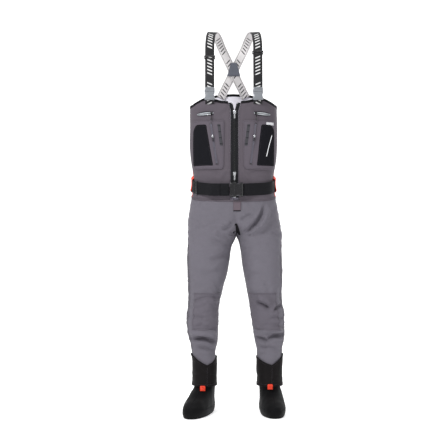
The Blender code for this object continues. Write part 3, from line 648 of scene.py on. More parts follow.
# ================================================================ folds
def ripple(P, size, amp, seed):
    """Smooth irregular swell, the same on every run."""
    rng = np.random.RandomState(seed)
    total = np.zeros(P.shape[:-1])
    for k in range(9):
        d = rng.normal(size=3)
        d /= np.linalg.norm(d)
        f = 2 * math.pi / (size * (0.6 + 1.1 * rng.rand()))
        total += np.sin(P @ d * f + rng.rand() * 7)
    return amp * total / 4.0


def crumple(P, size, amp, seed):
    """Sharp-edged creases of a stiff cloth, running this way and that."""
    rng = np.random.RandomState(seed)
    total = np.zeros(P.shape[:-1])
    bend = ripple(P, size * 1.6, size * 0.35, seed + 100)
    for k in range(4):
        a = rng.uniform(0.15, 0.95) * (1 if k % 2 else -1)
        f = 2 * math.pi / (size * rng.uniform(0.7, 1.5))
        s = np.sin((P[..., 2] + a * P[..., 0] + 0.5 * a * P[..., 1] + bend) * f + rng.rand() * 7)
        here = smooth(np.sin(P @ rng.normal(size=3) * 3.0 / size + rng.rand() * 7), -0.2, 0.8)
        total += (1 - 2 * np.sqrt(np.abs(s) + 0.02)) * here
    return -amp * total / 2.0


def crease(P, N, folds, facing):
    """Folds seen from the front (facing 1) or the back (-1): x0, z0, x1, z1, width, height."""
    x, z = P[..., 0], P[..., 2]
    side = smooth(-N[..., 1] * facing, 0.05, 0.45)
    total = np.zeros(x.shape)
    for x0, z0, x1, z1, wide, high in folds:
        dx, dz = x1 - x0, z1 - z0
        ln = math.hypot(dx, dz)
        t = ((x - x0) * dx + (z - z0) * dz) / ln**2
        bend = 0.10 * ln * np.sin(np.clip(t, 0, 1) * math.pi)
        s = ((x - x0) * dz - (z - z0) * dx) / ln + bend
        q = s / wide
        fade = smooth(t, -0.12, 0.25) * (1 - smooth(t, 0.72, 1.12))
        shape = (np.exp(-q**2) - 0.42 * np.exp(-((q - 1.9) / 1.1) ** 2)
                 - 0.42 * np.exp(-((q + 1.9) / 1.1) ** 2))
        total += high * shape * fade
    return total * side


LEG_FOLDS = [
    (.129, .855, .043, .748, .008, -.0070), (.152, .851, .078, .752, .014, .0055),
    (.151, .868, .136, .800, .010, -.0030),
    (-.141, .8465, -.113, .897, .009, -.0030), (-.150, .82, -.158, .74, .012, -.0022),
    (-.018, .703, -.1005, .732, .010, -.0030), (-.0246, .668, -.1005, .637, .011, -.0030),
    (-.010, .720, -.070, .765, .010, -.0022), (-.045, .600, -.130, .580, .013, -.0022),
    (-.174, .461, -.055, .4816, .007, -.0030), (-.170, .500, -.070, .520, .012, .0022),
    (-.176, .309, -.066, .289, .008, -.0065), (-.176, .336, -.066, .318, .012, .0040),
    (-.160, .268, -.090, .262, .009, -.0028),
    (.088, .461, .1450, .4365, .0075, -.0065), (.092, .486, .155, .462, .011, .0045),
    (.166, .428, .200, .449, .007, -.0050),
    (.088, .3135, .140, .293, .008, -.0055), (.135, .306, .207, .326, .008, -.0055),
    (.110, .336, .199, .346, .011, .0045),
    (.129, .555, .138, .494, .011, -.0022), (.060, .620, .150, .640, .013, -.0022),
    (.050, .560, .110, .575, .012, -.0018),
    (-.002, .793, -.047, .760, .008, -.0035), (.027, .793, .080, .822, .009, -.0035),
    (.112, .268, .185, .262, .009, -.0028),
    (.150, .400, .200, .392, .009, -.0022), (-.180, .400, -.120, .392, .010, -.0020),
]
LEG_FOLDS_BACK = [
    (-.16, .50, -.065, .478, .008, -.0070), (-.165, .474, -.06, .452, .010, .0050),
    (-.17, .452, -.07, .436, .008, -.0060),
    (.07, .505, .19, .486, .008, -.0070), (.07, .480, .19, .462, .010, .0050),
    (.08, .455, .19, .440, .008, -.0055),
    (-.03, .76, -.14, .80, .010, -.0060), (.05, .76, .15, .80, .010, -.0060),
    (-.02, .73, -.13, .70, .012, -.0045),
    (.03, .73, .14, .70, .012, -.0045), (-.17, .30, -.08, .285, .008, -.0050),
    (.10, .30, .195, .285, .008, -.0050),
    (-.17, .345, -.07, .355, .010, .0035), (.09, .345, .20, .355, .010, .0035),
    (-.12, .86, -.05, .83, .012, -.0030),
    (.13, .86, .06, .83, .012, -.0030),
]
BIB_FOLDS = [
    (-.165, 1.000, -.060, .985, .009, -.0030), (.060, .985, .165, 1.003, .009, -.0030),
    (-.150, 1.262, -.060, 1.256, .012, .0020),
    (-.060, .965, -.020, 1.010, .010, .0022), (.075, .967, .030, 1.015, .010, .0022),
    (.060, 1.258, .150, 1.264, .012, .0020),
    (-.045, 1.210, -.038, 1.080, .012, -.0016), (.047, 1.210, .041, 1.080, .012, -.0016),
    (-.165, .918, -.060, .902, .008, -.0020),
    (.060, .902, .165, .920, .008, -.0020), (-.030, 1.275, -.075, 1.235, .010, .0018),
    (.035, 1.275, .080, 1.235, .010, .0018),
]
BIB_FOLDS_BACK = [
    (-.150, 1.02, -.02, 1.035, .012, -.0045), (.150, 1.02, .02, 1.035, .012, -.0045),
    (-.13, 1.07, -.03, 1.06, .012, .0030),
    (.13, 1.07, .03, 1.06, .012, .0030), (-.05, 1.25, -.06, 1.10, .016, .0035),
    (.05, 1.25, .06, 1.10, .016, .0035),
    (-.12, .93, -.02, .915, .010, -.0030), (.12, .93, .02, .915, .010, -.0030),
    (-.10, 1.30, -.08, 1.18, .014, -.0025),
    (.10, 1.30, .08, 1.18, .014, -.0025),
]


def bib_relief(x, z, y=None):
    """Height of the bib cloth over the plain front, used by all that lies on it."""
    x, z = np.asarray(x, float), np.asarray(z, float)
    P = np.stack([x, front_y(x, z) if y is None else y, z], axis=-1)
    N = np.zeros_like(P)
    N[..., 1] = -1
    calm = smooth(np.abs(x - ZIP_X), 0.014, 0.035)
    return calm * (crease(P, N, BIB_FOLDS, 1) + ripple(P, 0.11, 0.0009, 5))


def on_bib(x, z, off):
    """Point on the front of the bib, off metres in front of the cloth."""
    x, z = np.broadcast_arrays(np.asarray(x, float), np.asarray(z, float))
    e = 0.002

    def p(a, b):
        return np.stack([a, front_y(a, b), b], axis=-1)
    n = np.cross(p(x, z + e) - p(x, z - e), p(x + e, z) - p(x - e, z))
    n = n * np.where(n[..., 1:2] > 0, -1, 1)
    n /= np.linalg.norm(n, axis=-1, keepdims=True)
    return p(x, z) + n * (np.asarray(off) + bib_relief(x, z))[..., None], n


# ================================================================ more helpers
def unit(a):
    return a / np.maximum(np.linalg.norm(a, axis=-1, keepdims=True), 1e-12)


def outward_normals(P, ref, wrap=False):
    n = normals_of(P, wrap)
    return n * (-1.0 if float(np.sum(n * ref)) < 0 else 1.0)


def tape(name, pts, nrm, width, thick, mats):
    """Flat tape laid along a line on a surface."""
    t = unit(np.gradient(np.asarray(pts, float), axis=0))
    n = unit(nrm - t * np.sum(nrm * t, axis=1, keepdims=True))
    return sweep(name, pts, np.cross(t, n), n, flat_profile(width, thick), mats, uv_scale=width)


class Stitches:
    """Rows of thread stitches gathered into one piece."""

    def __init__(self):
        self.verts, self.faces = [], []

    def row(self, pts, nrm, pitch=0.0036, length=0.0026, r=0.00038, lift=0.0002):
        pts = np.asarray(pts, float)
        nrm = np.broadcast_to(np.asarray(nrm, float), pts.shape)
        seg = np.linalg.norm(np.diff(pts, axis=0), axis=1)
        cum = np.concatenate([[0], np.cumsum(seg)])
        count = int(cum[-1] / pitch)
        for k in range(count):
            s0 = (k + 0.5) * pitch - length / 2
            a = np.array([np.interp(s0, cum, pts[:, i]) for i in range(3)])
            b = np.array([np.interp(s0 + length, cum, pts[:, i]) for i in range(3)])
            n = unit(np.array([np.interp(s0, cum, nrm[:, i]) for i in range(3)]))
            t = unit(b - a)
            w = np.cross(t, n)
            base = len(self.verts)
            self.verts.append(a + n * (lift - r * 0.6))
            for f in (0.25, 0.75):
                c = a + (b - a) * f + n * lift
                self.verts += [c + w * r, c + n * r * 1.2, c - w * r, c - n * r]
            self.verts.append(b + n * (lift - r * 0.6))
            for i in range(4):
                j = (i + 1) % 4
                self.faces.append((base, base + 1 + i, base + 1 + j))
                self.faces.append((base + 1 + i, base + 5 + i, base + 5 + j, base + 1 + j))
                self.faces.append((base + 9, base + 5 + j, base + 5 + i))

    def done(self, name, mat):
        return obj(name, self.verts, self.faces, [mat])


def bare(x, z, off):
    """Point off metres in front of the plain bib, and the way out there, as in the frame."""
    e = 0.002

    def p(a, b):
        return Vector((a, float(front_y(a, b)), b))
    n = (p(x, z + e) - p(x, z - e)).cross(p(x + e, z) - p(x - e, z))
    n = -n if n.y > 0 else n
    n.normalize()
    return p(x, z) + n * off, n


def facing_way(nrm):
    """Turn that brings a piece's front, its -y side, to face along nrm."""
    return Vector((0, -1, 0)).rotation_difference(Vector(nrm)).to_matrix().to_4x4()


def line_frame(p0, p1, nrm):
    """Matrix whose z axis runs from p0 to p1 and whose -y axis is the way out."""
    zax = (p1 - p0).normalized()
    xax = zax.cross(nrm).normalized()
    yax = zax.cross(xax).normalized()
    if yax.dot(nrm) > 0:
        xax, yax = -xax, -yax
    m = Matrix((xax, yax, zax)).transposed().to_4x4()
    m.translation = (p0 + p1) / 2
    return m


# ================================================================ bib
SEAM_Z = [.86, .96, 1.00, 1.035]
SEAM_FRONT = [14, 12, 7, 0.35]
SEAM_BACK = [-34, -32, -18, -0.35]
FABRIC = 0.0025


def seam_psi(z, degs, extra=0.0):
    t = np.radians(curve(z, SEAM_Z, degs) + extra)
    s, c = np.sin(t), np.cos(t)
    return np.arctan2(np.sign(s) * np.abs(s) ** (2 / POWER), np.abs(c) ** (2 / POWER))


def opened(z):
    return np.maximum(0.0, np.asarray(z, float) - 1.245) * 0.26


def waist(y):
    return 0.90 + 0.17 * y


def trunk_panel(rows, cols, start, end, top, bottom_gap=0.0008, side=1):
    """Grid of a trunk panel between two edge angles; top(x) or a height ends it above."""
    u = np.linspace(0, 1, cols)[None, :]
    v = np.linspace(0, 1, rows)[:, None]
    low = np.full((1, cols), 0.90)
    _, y0 = trunk(low, start(low) + (end(low) - start(low)) * u)
    high = np.full((1, cols), 1.28)
    x1, _ = trunk(high, start(high) + (end(high) - start(high)) * u)
    zb = waist(y0) + bottom_gap
    zt = top(x1) if callable(top) else np.full_like(zb, top)
    z = zb + (zt - zb) * v
    psi = start(z) + (end(z) - start(z)) * u
    x, y = trunk(z, psi)
    return np.stack([side * x, y, z], axis=-1)


def front_grid(side):
    edge = ZIP_X * side + 0.0162
    P = trunk_panel(120, 84, lambda z: seam_psi(z, SEAM_FRONT), lambda z: psi_at(edge + opened(z), z),
                    collar, side=side)
    N = outward_normals(P, radial(P))
    return P + N * bib_relief(P[..., 0], P[..., 2], P[..., 1])[..., None]


def back_grid():
    half = trunk_panel(110, 75, lambda z: np.full_like(z, -math.pi / 2), lambda z: seam_psi(z, SEAM_BACK),
                       nape)
    other = half[:, ::-1].copy()
    other[..., 0] *= -1
    P = np.concatenate([other[:, :-1], half], axis=1)
    N = outward_normals(P, radial(P))
    fade = smooth(P[..., 2], 0.90, 0.93)
    d = crease(P, N, BIB_FOLDS_BACK, -1) * fade + ripple(P, 0.11, 0.0009, 5)
    return P + N * d[..., None]


FRONT = {side: front_grid(side) for side in (-1, 1)}
BACK = back_grid()
WORD = {-1: "right", 1: "left"}
threads = Stitches()


def binding(name, line, nrm, tall=0.0095, wide=0.0046, lift=0.0012, slot="bib_fabric"):
    """Folded edge binding: hugs the cloth's top edge."""
    prof = []
    for k in range(9):
        a = math.pi * k / 8
        prof.append((wide / 2 * math.cos(a), lift - wide / 2 + wide / 2 * math.sin(a)))
    prof += [(-wide / 2, -tall), (-wide / 2 + 0.0008, -tall - 0.0006), (wide / 2 - 0.0008, -tall - 0.0006),
             (wide / 2, -tall)]
    up = np.zeros_like(line)
    up[:, 2] = 1
    mid = line - nrm * FABRIC / 2
    return finish_piece(sweep(name, mid, nrm, up, prof, [BINDING]), ROOT, slot)


def bound_edge(name, P, N):
    """Binding over a panel's top edge, with a row of stitches below it."""
    binding(name, P[-1], N[-1])
    threads.row(P[-1] - np.array([0, 0, 0.0075]) + N[-1] * 0.0012, N[-1])


for side in (-1, 1):
    w = WORD[side]
    P = FRONT[side]
    ob = shell(f"bib_front_{w}_cloth", P, FABRIC, [BIB, LINING], outward=radial, inner_mat=True)
    finish_piece(ob, ROOT, "bib_fabric", f"bib_front_{w}")
    N = outward_normals(P, radial(P))
    bound_edge(f"collar_binding_{w}", P, N)
    threads.row(P[:-3, -3], N[:-3, -3])
    threads.row(P[2:-3, 2], N[2:-3, 2])
    S = trunk_panel(60, 34, lambda z: seam_psi(z, SEAM_FRONT, -1.3), lambda z: seam_psi(z, SEAM_BACK, 1.3),
                    1.022,
                    side=side)
    NS = outward_normals(S, radial(S))
    S = S + NS * (ripple(S, 0.05, 0.0010, 8))[..., None]
    ob = shell(f"side_panel_{w}_cloth", S, FABRIC, [ORANGE, LINING], outward=radial, inner_mat=True)
    finish_piece(ob, ROOT, "orange_panel", f"side_panel_{w}")
    threads.row(S[1:-2, 2], NS[1:-2, 2])
    threads.row(S[1:-2, -3], NS[1:-2, -3])

NB = outward_normals(BACK, radial(BACK))
ob = shell("bib_back_cloth", BACK, FABRIC, [BIB, LINING], outward=radial, inner_mat=True)
finish_piece(ob, ROOT, "bib_fabric", "bib_back")
bound_edge("nape_binding", BACK, NB)
# the back panel's yoke seam, a flat tape with a row of stitches on each side
yoke = 84
finish_piece(tape("yoke_seam", BACK[yoke, 2:-2] + NB[yoke, 2:-2] * 0.0003, NB[yoke, 2:-2], 0.009, 0.0009,
                  [BIB]), ROOT,
             "bib_fabric")
for d in (-0.0032, 0.0032):
    threads.row(BACK[yoke, 2:-2] + NB[yoke, 2:-2] * 0.0007 + np.array([0, 0, d]), NB[yoke, 2:-2])


# ================================================================ legs
CUFF = 0.155
FOLDS_FROM = 0.195
GUSSET_TOP = 0.786
COLS = 45
LOW_ROWS, HIGH_ROWS = 128, 44


def leg_grid(side):
    """Grid of a whole leg: columns run from the back seam round the outside to the front seam."""
    u = np.concatenate([-np.linspace(1, 0, COLS)[:-1], np.linspace(0, 1, COLS)])[None, :]
    top = np.full((1, u.shape[1]), 0.885)
    cx, w, bf, bb, n = leg_dims(side, top)
    _, y0 = section(leg_cut(side, top) * u, cx, w, bf, bb, n)
    zt = waist(y0) - 0.0008
    low = np.linspace(CUFF, CROTCH, LOW_ROWS)[:, None] + 0 * zt
    f = (np.arange(1, HIGH_ROWS + 1) / HIGH_ROWS)[:, None] ** 1.35
    high = CROTCH + (zt - CROTCH) * f
    z = np.concatenate([low, high], axis=0)
    cx, w, bf, bb, n = leg_dims(side, z)
    x, y = section(leg_cut(side, z) * u, cx, w, bf, bb, n)
    return np.stack([side * x, y, z], axis=-1)


def leg_outward(P, side):
    r = P.copy()
    r[..., 0] -= side * leg_dims(side, P[..., 2])[0]
    r[..., 2] = 0
    return r


LEGS = {side: leg_grid(side) for side in (-1, 1)}
# the two legs meet along the middle seam above the crotch
for col, reach in ((0, 1), (-1, -1)):
    mean = (LEGS[-1][LOW_ROWS - 1:, col] + LEGS[1][LOW_ROWS - 1:, col]) / 2
    for side in (-1, 1):
        gap = mean - LEGS[side][LOW_ROWS - 1:, col]
        for k in range(10):
            c = col + reach * k
            LEGS[side][LOW_ROWS - 1:, c] += gap * (1 - k / 10) ** 2

for side in (-1, 1):
    P = LEGS[side]
    N = outward_normals(P, leg_outward(P, side))
    z = P[..., 2]
    end = smooth(z, FOLDS_FROM, FOLDS_FROM + 0.040) * (1 - smooth(z, 0.862, 0.885))
    # the folds are deepest low on the legs
    depth = 2.1 + 1.0 * (1 - smooth(z, 0.30, 0.50))
    cut = smooth(np.abs(np.linspace(-1, 1, P.shape[1])), 1.0, 0.93)[None, :]
    ours = [f for f in LEG_FOLDS if (f[0] + f[2]) * side > 0]
    ours_back = [f for f in LEG_FOLDS_BACK if (f[0] + f[2]) * side > 0]
    d = depth * (crease(P, N, ours, 1) + crease(P, N, ours_back, -1)) * end * (0.25 + 0.75 * cut)
    d = d + (ripple(P, 0.12, 0.0024, 21 + side) + ripple(P, 0.035, 0.0006, 31 + side)) * end * cut
    knee = np.exp(-((z - 0.40) / 0.12) ** 2) + np.exp(-((z - 0.76) / 0.08) ** 2) + 0.5
    d = d + (crumple(P, 0.085, 0.0022, 61 + side) + crumple(P, 0.045, 0.0008, 71 + side)) * knee * end * cut
    LEGS[side] = P + N * d[..., None]

for side in (-1, 1):
    w = WORD[side]
    P = LEGS[side]
    N = outward_normals(P, leg_outward(P, side))
    for half, sl in (("back", slice(0, COLS)), ("front", slice(COLS - 1, None))):
        Q = P[:, sl]
        rows, cols = Q.shape[:2]
        z = (Q[:-1, :-1, 2] + Q[1:, 1:, 2]) / 2
        strip = np.arange(cols - 1)
        near = strip if half == "front" else strip[::-1]
        # the faces next to the outer seam below 0.70 m take the darker tone
        dark = (near[None, :] < 8) & (z < 0.70)
        ob = shell(f"leg_{half}_{w}_cloth", Q, FABRIC, [LEG, LINING, LEG_DARK], outward=lambda A,
                   s=side: leg_outward(A, s))
        ob.data.polygons.foreach_set("material_index", np.where(dark, 2, 0).astype(np.int32).ravel())
        ob.modifiers["thickness"].material_offset = 1
        finish_piece(ob, ROOT, "leg_fabric", f"leg_{half}_{w}")
    # raised outer seams beside the dark side strip
    for c in (COLS - 1 - 8, COLS - 1 + 8):
        line = P[14:110, c] + N[14:110, c] * 0.0002
        finish_piece(tape(f"leg_seam_{w}_{'back' if c < COLS else 'front'}", line, N[14:110, c], 0.0060,
                          0.0010, [LEG]), ROOT,
                     "leg_fabric")
        threads.row(line + N[14:110, c] * 0.0006, N[14:110, c])
    line = P[14:LOW_ROWS - 2, 0] + N[14:LOW_ROWS - 2, 0] * 0.0003
    finish_piece(tape(f"inseam_{w}", line, N[14:LOW_ROWS - 2, 0], 0.0070, 0.0012, [LEG]), ROOT,
                 "leg_fabric")
    # knee panel, laid on the cloth
    zc = P[:, COLS - 1, 2]
    r0, r1 = int(np.searchsorted(zc, 0.345)), int(np.searchsorted(zc, 0.500))
    c0, c1 = COLS - 1 + 13, COLS - 1 + 38
    S = P[r0:r1 + 1, c0:c1 + 1] + N[r0:r1 + 1, c0:c1 + 1] * 0.0009
    ob = shell(f"knee_patch_{w}_cloth", S + N[r0:r1 + 1, c0:c1 + 1] * 0.0009, 0.0014, [KNEE],
               outward=lambda A, s=side: leg_outward(A, s))
    finish_piece(ob, ROOT, "knee_fabric", f"knee_patch_{w}")
    NK = N[r0:r1 + 1, c0:c1 + 1]
    S = S + NK * 0.0010
    for line, nn in ((S[1, 1:-1], NK[1, 1:-1]), (S[-2, 1:-1], NK[-2, 1:-1]), (S[1:-1, 1], NK[1:-1, 1]),
                     (S[1:-1, -2], NK[1:-1, -2])):
        threads.row(line, nn)

# middle seam: front rise and back rise, above the gusset
A = LEGS[1]
for word, col in (("front", -1), ("back", 0)):
    seam = A[LOW_ROWS:-1, col]
    seam = seam[seam[:, 2] > GUSSET_TOP - 0.004]
    out = np.cross(unit(np.gradient(seam, axis=0)), np.array([1.0, 0, 0]))
    out *= np.sign(np.sum(out * (seam - np.array([0, 0, 0.83])), axis=1, keepdims=True))
    ob = sweep(f"rise_seam_{word}", seam + unit(out) * 0.0002, np.broadcast_to([1.0, 0, 0], seam.shape),
               unit(out),
               flat_profile(0.008, 0.0012), [LEG], uv_scale=0.008)
    finish_piece(ob, ROOT, "leg_fabric")


def gusset_grid():
    """Wedge let into the middle seam, from the front over the crotch to the back, in near-black cloth that
    is painted shade where the legs part.
    """
    rise = np.linspace(-1, 1, 61)[:, None]
    z = CROTCH + 0.0006 + (GUSSET_TOP - CROTCH) * np.abs(rise) ** 1.7
    half = 0.0135 * np.sqrt(np.clip((GUSSET_TOP + 0.001 - z) / (GUSSET_TOP - CROTCH), 0, 1)) + 0.0006
    u = np.linspace(-1, 1, 15)[None, :]
    x = mid_x(z) + u * half
    y = np.zeros_like(x)
    for side in (-1, 1):
        cx, w, bf, bb, n = leg_dims(side, z)
        k = np.clip(np.abs((side * x - cx) / w), 0, 1)
        reach = (1 - k ** n) ** (1 / n) * np.where(rise > 0, bb, -bf)
        y = np.where((u * side) >= 0, reach, y)
    out = np.sign(rise + 1e-6) * smooth(np.abs(rise), 0, 0.3)
    return np.stack([x, y + 0.0022 * out, z - 0.0020 * (1 - np.abs(out)) + 0 * x], axis=-1)


# the gusset takes the near-black binding cloth: painted shade in the crotch, where the legs part
ob = shell("crotch_gusset_painted_shade", gusset_grid(), 0.0012, [BINDING],
           outward=lambda P: P * np.array([0, 3.0, 0]) + np.array([0, 0, -0.2]))
finish_piece(ob, ROOT, "leg_fabric", "crotch_gusset")

# waist seam: a tape over the join of the bib and the legs
ring_n = 220
psi = np.linspace(-math.pi, math.pi, ring_n, endpoint=False)
zz = np.full(ring_n, 0.885)
for _ in range(4):
    xx, yy = trunk(zz, psi)
    zz = waist(yy)
ring = np.stack([xx, yy, zz], axis=-1)
nn = unit(np.stack([np.gradient(yy), -np.gradient(xx), np.zeros(ring_n)], axis=-1))
nn *= np.sign(np.sum(nn * ring * np.array([1, 1, 0]), axis=1, keepdims=True))
up = np.zeros_like(ring)
up[:, 2] = 1
ob = sweep("waist_seam", ring + nn * 0.0006, up, nn, flat_profile(0.0085, 0.0016), [BIB], closed=True,
           uv_scale=0.0085)
finish_piece(ob, ROOT, "bib_fabric")
loop = np.vstack([ring, ring[:1]])
for d in (-0.0030, 0.0030):
    threads.row(loop + np.vstack([nn, nn[:1]]) * 0.0014 + np.array([0, 0, d]), np.vstack([nn, nn[:1]]))


# ================================================================ fly patch
def fly_outline(v):
    z = 0.838 + 0.039 * v
    half = 0.0165 - 0.0016 * (1 - v)
    return 0.0135 - half, 0.0135 + half, z


def leg_front_y(x, z):
    cx, w, bf, _, n = leg_dims(1, z)
    return -bf * (1 - np.clip(np.abs(x - cx) / w, 0, 1) ** n) ** (1 / n)


rows = 14
F = np.zeros((rows, 16, 3))
for j in range(rows):
    x0, x1, z = fly_outline(j / (rows - 1))
    xs = np.linspace(x0, x1, 16)
    F[j] = np.stack([xs, leg_front_y(xs, z) - 0.0020, np.full(16, z)], axis=-1)
ob = shell("fly_patch_cloth", F, 0.0012, [FLY], outward=forward)
finish_piece(ob, ROOT, "fly_fabric", "fly_patch")
for line in (F[1, 1:-1], F[-2, 1:-1], F[1:-1, 1], F[1:-1, -2]):
    threads.row(line, (0, -1, 0))
finish_piece(tape("fly_hem", F[0] + np.array([0, -0.0004, 0.001]),
                  np.broadcast_to([0, -1.0, 0], F[0].shape), 0.004, 0.0012,
                  [BINDING]), ROOT, "fly_fabric")


# ================================================================ gravel guards and socks
FOOT = {-1: (math.radians(17), (-0.1215, 0.004)), 1: (math.radians(4), (0.1540, 0.024))}


def spow(a, p):
    return np.sign(a) * np.abs(a) ** p


GUARD_FOOT = 0.112
GUARD_V = {-1: 100, 1: 84}


def guard_surface(side, lift):
    rows, cols = 56, 120
    a = np.linspace(0, 2 * math.pi, cols, endpoint=False)[None, :]
    v = np.linspace(0, 1, rows)[:, None]
    dip = 0.036 * np.maximum(0.0, 1 - np.abs((np.degrees(a) - GUARD_V[side]) / 70))
    zt = 0.236 - dip + 0.006 * np.cos(a)
    z = GUARD_FOOT + (zt - GUARD_FOOT) * v
    cx, w, bf, bb, n = leg_dims(side, np.maximum(z, 0.13))
    gap = 0.0014 + 0.0012 * v ** 2
    bf = bf + gap + 0.0090 * (1 - v)
    bb = bb + gap + 0.0050 * (1 - v)
    c, s = np.cos(a), np.sin(a)
    x = cx + (w + gap) * spow(c, 2 / n)
    y = -np.where(s >= 0, bf, bb) * spow(s, 2 / n)
    P = np.stack([side * x, y, z + 0 * x], axis=-1)
    N = outward_normals(P, leg_outward(P, side), True)
    soft = ripple(P, 0.06, 0.0011,
                  41 + side) - 0.0016 * np.exp(-((z - 0.150 - 0.010 * np.sin(a)) / 0.007) ** 2)
    hem = 0.0010 * (smooth(v, 0.10, 0.07) + smooth(v, 0.93, 0.95))
    groove = -0.0009 * (np.exp(-((v - 0.105) / 0.012) ** 2) + np.exp(-((v - 0.925) / 0.012) ** 2))
    return P + N * (lift + soft + hem + groove)[..., None], N


def sock_grid(side):
    turn, (ax, ay) = FOOT[side]
    rows, cols = 78, 110
    knots = np.arange(12.0)
    k = np.linspace(0, 11, rows)[:, None]
    level = curve(k, knots, [0.0, 0.0, 0.0, 0.008, 0.022, 0.040, 0.056, 0.070, 0.086, 0.104, 0.125, 0.1525])
    toe = curve(k, knots, [0.0, 0.105, 0.196, 0.204, 0.207, 0.200, 0.172, 0.136, 0.099, 0.068, 0.053,
                           0.049])
    heel = curve(k, knots, [0.0, 0.034, 0.066, 0.071, 0.074, 0.073, 0.071, 0.069, 0.066, 0.060, 0.055,
                            0.055])
    wide = curve(k, knots, [0.0, 0.024, 0.0435, 0.0475, 0.050, 0.049, 0.047, 0.046, 0.0455, 0.044, 0.0440,
                            0.0465])
    h = curve(k, knots, [0.0, 0.0, 0.0, 0.0, 0.0, 0.0, 0.0, 0.0, 0.2, 0.7, 1.0, 1.0])
    a = np.linspace(0, 2 * math.pi, cols, endpoint=False)[None, :]
    c, s = np.cos(a), np.sin(a)
    n = 2.35
    fx = (toe - heel) / 2 + (toe + heel) / 2 * spow(c, 2 / n)
    ball = np.exp(-((fx - 0.125) / 0.08) ** 2) * 0.07
    low = 1 - smooth(k, 8.0, 9.0)
    narrow = 1.0 + (-0.14 * np.clip((0.03 - fx) / 0.10, 0, 1) + ball) * low
    fy = wide * narrow * spow(s, 2 / n)
    x = ax + fx * math.sin(turn) * side + fy * math.cos(turn)
    y = ay - fx * math.cos(turn) + fy * math.sin(turn) * side
    cx, w, _, _, _ = leg_dims(side, np.array(0.16))
    tx = side * cx + math.cos(turn) * fy * (w - 0.0035) / 0.0465 * 0.985 + math.sin(turn) * side * fx * 0.85
    ty = -math.cos(turn) * fx * 0.98 + math.sin(turn) * side * fy * 0.98
    P = np.stack([x + (tx - x) * h, y + (ty - y) * h, level + 0 * x], axis=-1)
    ref = P - np.array([ax, ay - 0.05, 0.07])
    N = outward_normals(P, ref, True)
    rise = smooth(P[..., 2], 0.006, 0.03)
    # the instep folds lie across the front of the ankle
    across = np.exp(-((P[..., 2] - 0.098) / 0.012) ** 2) + np.exp(-((P[..., 2] - 0.076) / 0.010) ** 2)
    front_side = smooth(c * np.ones_like(fx), 0.2, 0.8)
    d = (ripple(P, 0.05, 0.0010, 51 + side) - 0.0026 * across * front_side) * rise
    return P + N * d[..., None], N, k, c


for side in (-1, 1):
    w = WORD[side]
    G, NG = guard_surface(side, 0.0032)
    ob = shell(f"gravel_guard_{w}_shell", G, 0.0030, [GUARD], wrap=True, outward=lambda A,
               s=side: leg_outward(A, s))
    finish_piece(ob, ROOT, "guard_neoprene", f"gravel_guard_{w}")
    round_it = np.concatenate([np.arange(G.shape[1]), [0]])
    for up_to in (0.105, 0.925):
        hem = int(G.shape[0] * up_to)
        threads.row(G[hem, round_it] + NG[hem, round_it] * 0.0006, NG[hem, round_it])
    mid = int(round(GUARD_V[side] / 360 * G.shape[1]))
    line = G[2:-1, mid] + NG[2:-1, mid] * 0.0002
    finish_piece(tape(f"guard_seam_{w}", line, NG[2:-1, mid], 0.0070, 0.0011, [GUARD]), ROOT,
                 "guard_neoprene")
    for d in (-0.0024, 0.0024):
        threads.row(line + NG[2:-1, mid] * 0.0006 + np.array([d, 0, 0]), NG[2:-1, mid])
    S, NS, k, c = sock_grid(side)
    fm = np.where((k[:-1] < 2.6) & (c[:, :] < 2), 1, 0).astype(int).ravel()
    ob = shell(f"sock_{w}_shell", S, 0.0040, [SOCK, SOLE], wrap=True,
               outward=lambda A, s=side: A - np.array([FOOT[s][1][0], FOOT[s][1][1] - 0.05, 0.07]),
               face_mats=fm)
    finish_piece(ob, ROOT, "sock_neoprene", f"sock_{w}")
    # glued and taped seams: round the edge of the sole, and over the instep
    edge = int(np.argmin(np.abs(k[:, 0] - 4.6)))
    ring = np.vstack([S[edge], S[edge][:1]]) + np.vstack([NS[edge], NS[edge][:1]]) * 0.0001
    rn = np.vstack([NS[edge], NS[edge][:1]])
    finish_piece(tape(f"sock_seam_{w}", ring, rn, 0.0060, 0.0009, [SOLE]), ROOT, "sock_neoprene")
    top_line = S[edge + 1:-1, 0] + NS[edge + 1:-1, 0] * 0.0001
    finish_piece(tape(f"instep_seam_{w}", top_line, NS[edge + 1:-1, 0], 0.0055, 0.0009, [SOLE]), ROOT,
                 "sock_neoprene")

